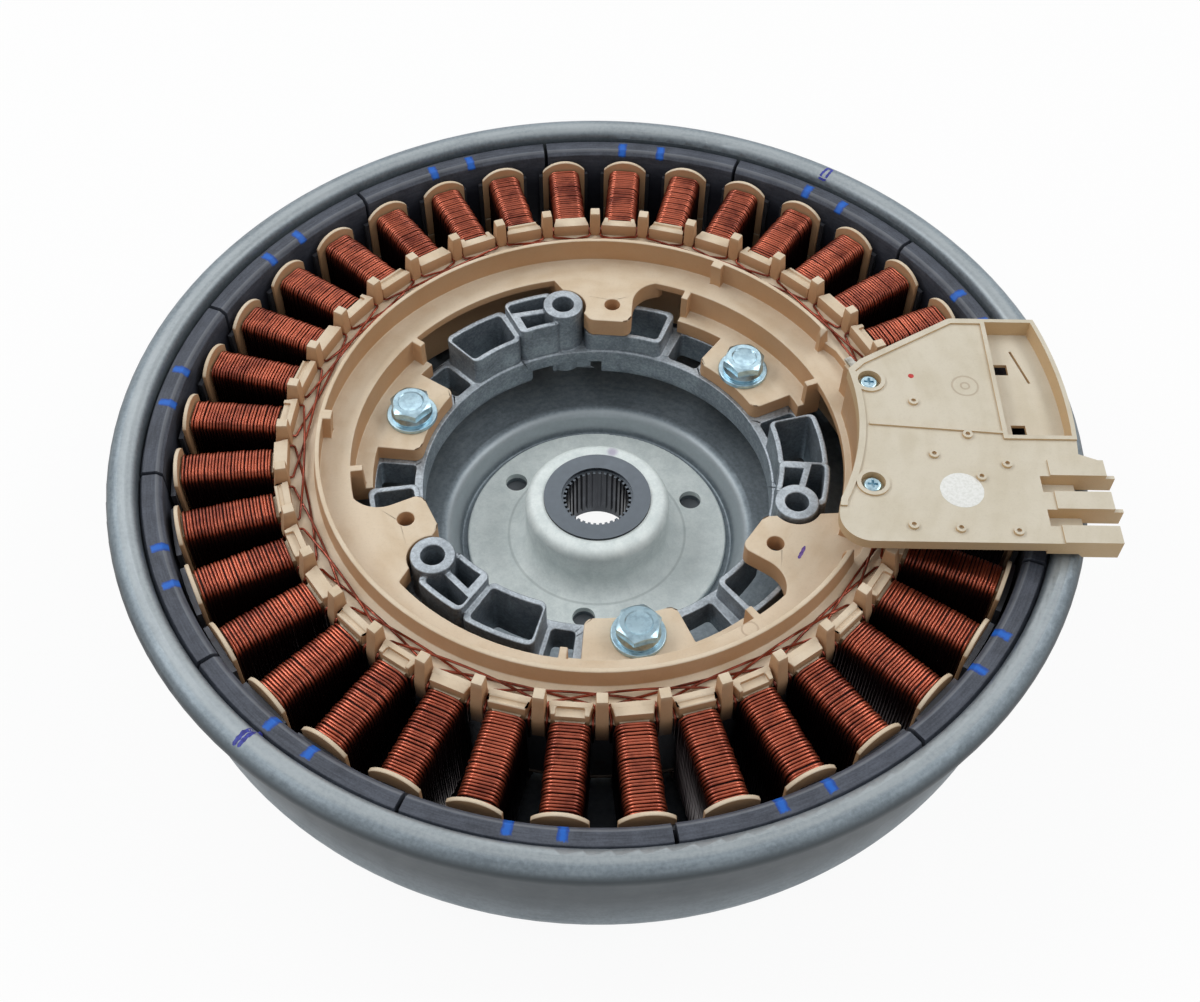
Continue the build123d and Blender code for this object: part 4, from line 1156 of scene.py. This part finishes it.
@dataclass
class Mouldings:
    """The two bobbin mouldings and the core between them, with the blocks and pegs at their full depth.

    The wall round the plate is drawn inwards from its foot to its top: by so much at the level of the ledge,
    and by so much more at the wall's top.
    """

    ease: float = 0.38
    teeth: int = 36
    ledge: float = 51.5
    wall_arc: Range = (34.0, 333.4)
    wall_radii: Range = (86.0, 91.9)
    wall_middle: float = 90.0
    wall_foot: float = 47.9
    wall_rise: float = 3.5
    wall_lift: float = 2.6
    wall_outer_draw: Range = (3.0, 0.9)
    wall_inner_draw: Range = (1.2, 1.2)
    notch_face: float = 99.0
    notch_cut: float = 1.0
    notch_half: float = 4.1
    notch_level: float = 54.5
    flange_face: float = 128.4
    flange_cut: float = 0.9
    tolerance: float = 0.03
    block_seat: float = 97.9
    block_sunk: float = 0.2
    block_ease: float = 0.3
    block_top: float = 56.02
    block: tuple[Range, ...] = ((96.2, 6.15), (97.95, 5.92))
    peg: tuple[tuple[float, float, float, float], ...] = (
        (43.5, 99.0, 101.1, 1.9), (50.2, 99.0, 101.15, 1.9), (51.4, 95.9, 101.0, 1.8),
        (56.0, 95.95, 100.2, 1.74), (59.1, 96.0, 99.66, 1.73), (61.2, 96.1, 99.4, 1.6))
    peg_seat: float = 44.0
    peg_ease: float = 0.28

    def reshape(self, place: Vector) -> Vector:
        """Draws the plate's wall inwards and up, deepens the blocks' notches and thins the flanges.

        Args:
            place: A point of a moulding's solid, in millimetres.

        Returns:
            Where it goes.
        """
        radius, angle = hypot(place.x, place.y), degrees(atan2(place.y, place.x)) % 360
        on_wall = self.wall_radii[0] < radius < self.wall_radii[1] and place.z > self.wall_foot
        if on_wall and self.wall_arc[0] < angle < self.wall_arc[1]:
            rise = max(0.0, (place.z - self.ledge) / self.wall_rise)
            draw = self.wall_outer_draw if radius > self.wall_middle else self.wall_inner_draw
            share = (radius - draw[0] - draw[1] * rise) / radius
            return Vector((place.x * share, place.y * share, place.z + self.wall_lift * rise))
        step = 360 / self.teeth
        tooth = radians(round(angle / step) * step)
        along = place.x * cos(tooth) + place.y * sin(tooth)
        across = place.y * cos(tooth) - place.x * sin(tooth)
        in_notch = abs(across) < self.notch_half and place.z > self.notch_level
        if in_notch and abs(along - self.notch_face) < self.tolerance:
            moved = -self.notch_cut
        elif abs(along - self.flange_face) < self.tolerance:
            moved = self.flange_cut
        else:
            return place
        return place + Vector((moved * cos(tooth), moved * sin(tooth), 0.0))

    def loft(self, rows: Sequence[Sequence[Point]], kept: Callable[[Vector], bool],
             width: float) -> bpy.types.Mesh:
        """A closed solid through rings of points, with its edges rounded.

        Args:
            rows: The rings, in millimetres.
            kept: Says of a point whether it is where edges stay sharp.
            width: How far the rounding reaches from an edge.

        Returns:
            The mesh in metres.
        """
        work = bmesh.new()
        rings = [[work.verts.new(point) for point in row] for row in rows]
        bridge(work, rings)
        bmesh.ops.recalc_face_normals(work, faces=work.faces)
        sharp = [edge for edge in work.edges if edge.calc_face_angle(0.0) > radians(28)
                 and not all(kept(vert.co) for vert in edge.verts)]
        bmesh.ops.bevel(work, geom=sharp, offset=width, segments=2, profile=0.5, affect="EDGES")
        return mesh_of(work, "loft")

    def ring_tree(self) -> bpy.types.NodeTree:
        """Builds the node tree that repeats a shape round the axis.

        Returns:
            The tree, with the shape, its count, its first angle and its material as inputs.
        """
        bench, given = new_tree("ring of shapes", {
            "Shape": "Geometry", "Count": "Int", "First Angle": "Float", "Material": "Material"})
        points = bench.node("GeometryNodePoints", None, {"Count": given["Count"]})
        index = Value(bench, bench.node("GeometryNodeInputIndex").outputs[0])
        turn = index * (2 * pi) / Value(bench, given["Count"]) + Value(bench, given["First Angle"])
        placed = bench.node("GeometryNodeInstanceOnPoints", None, {
            "Points": points.outputs[0], "Instance": given["Shape"],
            "Rotation": bench.vector(0.0, 0.0, turn)})
        return finish_tree(bench, placed, given["Material"])

    def ring(self, shape: bpy.types.Mesh, tree: bpy.types.NodeTree, first_angle: float,
             finish: Moulding) -> bpy.types.Mesh:
        """One mesh of a shape repeated at every tooth."""
        given = {"Count": self.teeth, "First Angle": radians(first_angle), "Material": Shelf.take(finish)}
        return grown_mesh(shape, tree, given)

    def build(self) -> None:
        """Rounds and dresses the mouldings, adds what the solids lack and dresses the core."""
        finish = Moulding()
        for node in ("upper_insulator", "lower_insulator"):
            settle(eased_mesh(node, self.ease, reshape=self.reshape), node + "_moulding", finish,
                   Body.STATOR, (node,))
        tree = self.ring_tree()
        outline = [(radius, -half) for radius, half in self.block]
        outline += [(radius, half) for radius, half in self.block[::-1]]
        levels = (self.ledge - self.block_sunk, self.block_top)
        rows = [[(x, y, level) for x, y in outline] for level in levels]
        backs = self.loft(rows, lambda place: place.x > self.block_seat or place.z < self.ledge,
                          self.block_ease)
        settle(self.ring(backs, tree, 0.0, finish), "block_backs", finish, Body.STATOR)
        rows = [[(inner, -half, level), (outer, -half, level), (outer, half, level), (inner, half, level)]
                for level, inner, outer, half in self.peg]
        pegs = self.loft(rows, lambda place: place.z < self.peg_seat, self.peg_ease)
        settle(self.ring(pegs, tree, 180 / self.teeth, finish), "peg_tongues", finish, Body.STATOR)
        dress("stator_core", Laminations())


@dataclass
class TerminalBlock:
    """Cover over the sensor board and phase terminals, with a blank sticker and a paint dot on it."""

    top: float = 69.3
    sticker_place: tuple[float, float] = (108.3, -24.6)
    sticker_radius: float = 6.4
    dot_place: tuple[float, float] = (96.0, 19.7)
    dot_radius: float = 0.9

    def disc(self, place: tuple[float, float], radius: float, thickness: float,
             lift: float) -> bpy.types.Mesh:
        """A thin round patch with a softened edge, its rim a little uneven.

        Args:
            place: Its middle on the cover.
            radius: Its radius.
            thickness: Its thickness at the rim.
            lift: How much thicker its middle is.

        Returns:
            The mesh in metres.
        """
        work = bmesh.new()
        count = 40
        rows = [(radius, self.top - 0.02), (radius, self.top + thickness * 0.6),
                (radius - 0.12, self.top + thickness), (radius * 0.5, self.top + thickness + lift)]
        turns = [2 * pi * step / count for step in range(count)]
        rings = [[work.verts.new((place[0] + reach * cos(turn) * (1 + 0.01 * sin(step * 1.7)),
                                  place[1] + reach * sin(turn), level))
                  for step, turn in enumerate(turns)] for reach, level in rows]
        bridge(work, rings)
        return mesh_of(work, "patch")

    def build(self) -> None:
        """Makes the cover, dresses what is under it and adds the patches."""
        # The cover's second colour is the painted shade of its upright sides.
        cream = Moulding("cream moulding", (212, 203, 184), (208, 176, 132), (198, 187, 164), 0.6,
                         ((112.5, 16.9, 4.0), (112.5, 16.9, 1.3)))
        dress("terminal_cover", cream)
        dress("sensor_board", BoardLacquer())
        for number in (1, 2):
            dress(f"cover_screw_{number}", ZincPlate())
        for number in (1, 2, 3):
            dress(f"phase_terminal_{number}", TinnedStrip())
        settle(self.disc(self.sticker_place, self.sticker_radius, 0.08, 0.0), "blank_sticker",
               Ink("paper", (236, 236, 232), (222, 222, 216), 0.5), Body.STATOR)
        settle(self.disc(self.dot_place, self.dot_radius, 0.1, 0.05), "paint_dot",
               Ink("red paint", (196, 44, 38), (160, 30, 28), 0.3), Body.STATOR)


@dataclass
class PenStroke:
    """One pen line: places along it, its width and whether it closes on itself."""

    places: Sequence[tuple[float, float]]
    width: float = 1.1
    closed: bool = False


@dataclass
class Rotor:
    """The pressed bowl with its magnets, moulded hub, splined bush and inspection pen marks."""

    magnet_ease: float = 0.28
    plate_reach: float = 100.0
    magnet_reach: float = 140.4
    lip_flat_inner: float = 143.4
    lip_flat_outer: float = 145.5
    lip_inner_bend: float = 3.0
    lip_outer_bend: float = 4.0
    lip_top: float = 62.4
    magnet_top: float = 58.8
    plate_top: float = 48.0
    ink_top: float = 0.045
    ink_foot: float = -0.03

    def lip_level(self, radius: float) -> float:
        """Height of the plate, the magnets or the pressed lip at a radius, in millimetres."""
        if radius < self.plate_reach:
            return self.plate_top
        if radius < self.magnet_reach:
            return self.magnet_top
        if radius < self.lip_flat_inner:
            drop = self.lip_inner_bend ** 2 - (self.lip_flat_inner - radius) ** 2
            return self.lip_top - self.lip_inner_bend + sqrt(max(drop, 0.0))
        if radius <= self.lip_flat_outer:
            return self.lip_top
        drop = self.lip_outer_bend ** 2 - (radius - self.lip_flat_outer) ** 2
        return self.lip_top - self.lip_outer_bend + sqrt(max(drop, 0.0))

    def stroke_mesh(self, strokes: Sequence[PenStroke], name: str) -> bpy.types.Mesh:
        """Thin closed ribbons that lie on the lip or the plate.

        Args:
            strokes: The pen lines.
            name: The name of the mesh.

        Returns:
            One mesh of all the lines.
        """
        work = bmesh.new()
        for stroke in strokes:
            dense = []
            ends = list(stroke.places) + (list(stroke.places[:1]) if stroke.closed else [])
            for start, end in zip(ends, ends[1:]):
                steps = max(2, int(hypot(end[0] - start[0], end[1] - start[1]) / 0.5))
                dense += [(start[0] + (end[0] - start[0]) * step / steps,
                           start[1] + (end[1] - start[1]) * step / steps) for step in range(steps)]
            if not stroke.closed:
                dense.append(ends[-1])
            count = len(dense)
            rings = []
            for number, (x, y) in enumerate(dense):
                before = dense[(number - 1) % count] if stroke.closed else dense[max(number - 1, 0)]
                after = dense[(number + 1) % count] if stroke.closed else dense[min(number + 1, count - 1)]
                along = Vector((after[0] - before[0], after[1] - before[1]))
                along = along.normalized() if along.length else Vector((1.0, 0.0))
                taper = 1.0 if stroke.closed else min(1.0, 0.35 + 0.5 * min(number, count - 1 - number))
                half = stroke.width / 2 * taper * (1 + 0.18 * sin(number * 1.9))
                ring = []
                for side, lift in ((-1, self.ink_top), (1, self.ink_top),
                                   (1, self.ink_foot), (-1, self.ink_foot)):
                    px, py = x - along.y * half * side, y + along.x * half * side
                    ring.append(work.verts.new((px, py, self.lip_level(hypot(px, py)) + lift)))
                rings.append(ring)
            bridge(work, rings, stroke.closed)
        return mesh_of(work, name)

    def pen_marks(self) -> None:
        """Adds the plain pen ticks on the lip and the dash on the moulding's lug."""
        dash = PenStroke([(63.1, -37.7), (64.1, -35.4), (65.1, -32.9)], 1.0)
        settle(self.stroke_mesh([dash], "dash"), "pen_dash", Ink("violet ink", (92, 60, 140), (122, 92, 168)),
               Body.STATOR)
        dark = [
            PenStroke([(-86.3, -119.7), (-84.2, -115.9), (-81.9, -114.2)], 1.3),
            PenStroke([(-84.9, -120.2), (-83.2, -117.2), (-81.4, -115.2)], 1.2),
            PenStroke([(-82.6, -115.4), (-80.2, -114.6)], 2.6),
            PenStroke([(70.6, 122.3), (73.6, 126.4), (75.2, 125.6), (72.6, 121.2)], 0.9, True),
        ]
        settle(self.stroke_mesh(dark, "ticks"), "pen_ticks", Ink(), Body.ROTOR)

    def build(self) -> None:
        """Dresses the bowl, hub and bush, and rounds the magnets."""
        dress("rotor_bowl", ZincSheet())
        dress("hub_disc", HubMoulding())
        dress("spline_bush", BushSteel())
        finish = Ferrite()
        for number in range(1, 13):
            node = f"magnet_{number:02d}"
            settle(eased_mesh(node, self.magnet_ease, 25.0), node + "_block", finish, Body.ROTOR,
                   (node,))
        self.pen_marks()


@dataclass(frozen=True)
class SoftBox:
    """One lamp, aimed at the motor: its name, place and size in metres, and power in watts."""

    name: str
    place: Point
    size: tuple[float, float]
    power: float


@dataclass
class Studio:
    """Table, lamps, world and camera. The camera's place is in millimetres, the lamps are in metres."""

    aim: Point = (0.0, 0.0, 0.03)
    lamps: tuple[SoftBox, ...] = (
        SoftBox("overhead", (-0.1, -0.1, 1.3), (1.4, 1.2), 2.2),
        SoftBox("near fill", (0.0, -1.1, 0.9), (1.6, 0.4), 1.1),
        SoftBox("far fill", (0.0, 1.1, 0.9), (1.2, 0.5), 1.8),
        SoftBox("left strip", (-0.85, 0.3, 1.05), (1.2, 0.35), 7.0),
        SoftBox("right strip", (0.85, 0.3, 1.05), (1.2, 0.35), 5.4))
    camera_place: Point = (19.168, -288.927, 395.096)
    lens: float = 42.73
    forward: Point = (0.0, 0.61197, -0.79088)
    up: Point = (0.0, 0.79088, 0.61197)
    roll: float = 0.8866
    turn: float = 3.614
    world_level: float = 0.38

    def table(self) -> None:
        """A wide softly curved table that fades into a backdrop."""
        work = bmesh.new()
        profile = [(-3.0, 0.0), (2.0, 0.0), (2.6, 0.12), (3.0, 0.5), (3.15, 1.1), (3.15, 3.0)]
        rows = [[work.verts.new((x, y, z - 0.0002)) for y, z in profile] for x in (-4.0, -1.5, 1.5, 4.0)]
        for first, second in zip(rows, rows[1:]):
            for place in range(len(profile) - 1):
                work.faces.new((first[place], second[place], second[place + 1], first[place + 1]))
        mesh = bpy.data.meshes.new("table")
        work.to_mesh(mesh)
        work.free()
        mesh.materials.append(Shelf.take(StudioWhite()))
        for face in mesh.polygons:
            face.use_smooth = True
        carrier_of(mesh, "table")

    def hang(self, box: SoftBox) -> None:
        """Hangs one lamp."""
        light = bpy.data.lights.new(box.name, "AREA")
        light.shape = "RECTANGLE"
        light.size, light.size_y = box.size
        light.energy = box.power
        lamp = carrier_of(light, box.name)
        lamp.location = box.place
        lamp.rotation_euler = (Vector(self.aim) - Vector(box.place)).to_track_quat("-Z", "Y").to_euler()

    def world(self) -> None:
        """A soft grey surround that shows white to the camera."""
        world = bpy.data.worlds.new("soft surround")
        world.use_nodes = True
        bpy.context.scene.world = world
        bench = Bench(world.node_tree)
        bench.tree.nodes.clear()
        camera = Value(bench, bench.node("ShaderNodeLightPath").outputs["Is Camera Ray"])
        dim = bench.node("ShaderNodeBackground", None,
                         {"Color": (0.94, 0.97, 1.0, 1.0), "Strength": self.world_level}).outputs[0]
        white = bench.node("ShaderNodeBackground", None, {"Color": (1, 1, 1, 1), "Strength": 1.0}).outputs[0]
        mixed = bench.node("ShaderNodeMixShader", None, {0: camera, 1: dim, 2: white})
        bench.node("ShaderNodeOutputWorld", None, {"Surface": mixed.outputs[0]})

    def camera(self) -> None:
        """The camera at the photograph's viewing angle."""
        data = bpy.data.cameras.new("camera")
        data.lens = self.lens
        data.sensor_fit = "HORIZONTAL"
        data.sensor_width = 36.0
        data.clip_start = 0.01
        data.clip_end = 20.0
        camera = carrier_of(data, "camera")
        right, up, forward = Vector((1, 0, 0)), Vector(self.up), Vector(self.forward)
        roll = radians(self.roll)
        across = right * cos(roll) + up * sin(roll)
        above = up * cos(roll) - right * sin(roll)
        axes = Matrix((across, above, -forward)).transposed()
        axes = Matrix.Rotation(radians(self.turn), 3, "Z") @ axes
        camera.matrix_world = Matrix.Translation(Vector(self.camera_place) * MM) @ axes.to_4x4()
        bpy.context.scene.camera = camera

    def build(self) -> None:
        """Sets the whole studio."""
        bpy.context.scene.view_settings.view_transform = "Standard"
        self.table()
        for box in self.lamps:
            self.hang(box)
        self.world()
        self.camera()


def main() -> None:
    """Builds each sub-assembly in order."""
    logging.basicConfig(level=logging.INFO, format="%(name)s: %(message)s")
    for assembly in (Studio(), Rotor(), Mouldings(), MountingHardware(), TerminalBlock(), Winding(),
                     Crossovers()):
        assembly.build()
        LOG.info("%s is ready", type(assembly).__name__)


if __name__ == "__main__":
    main()
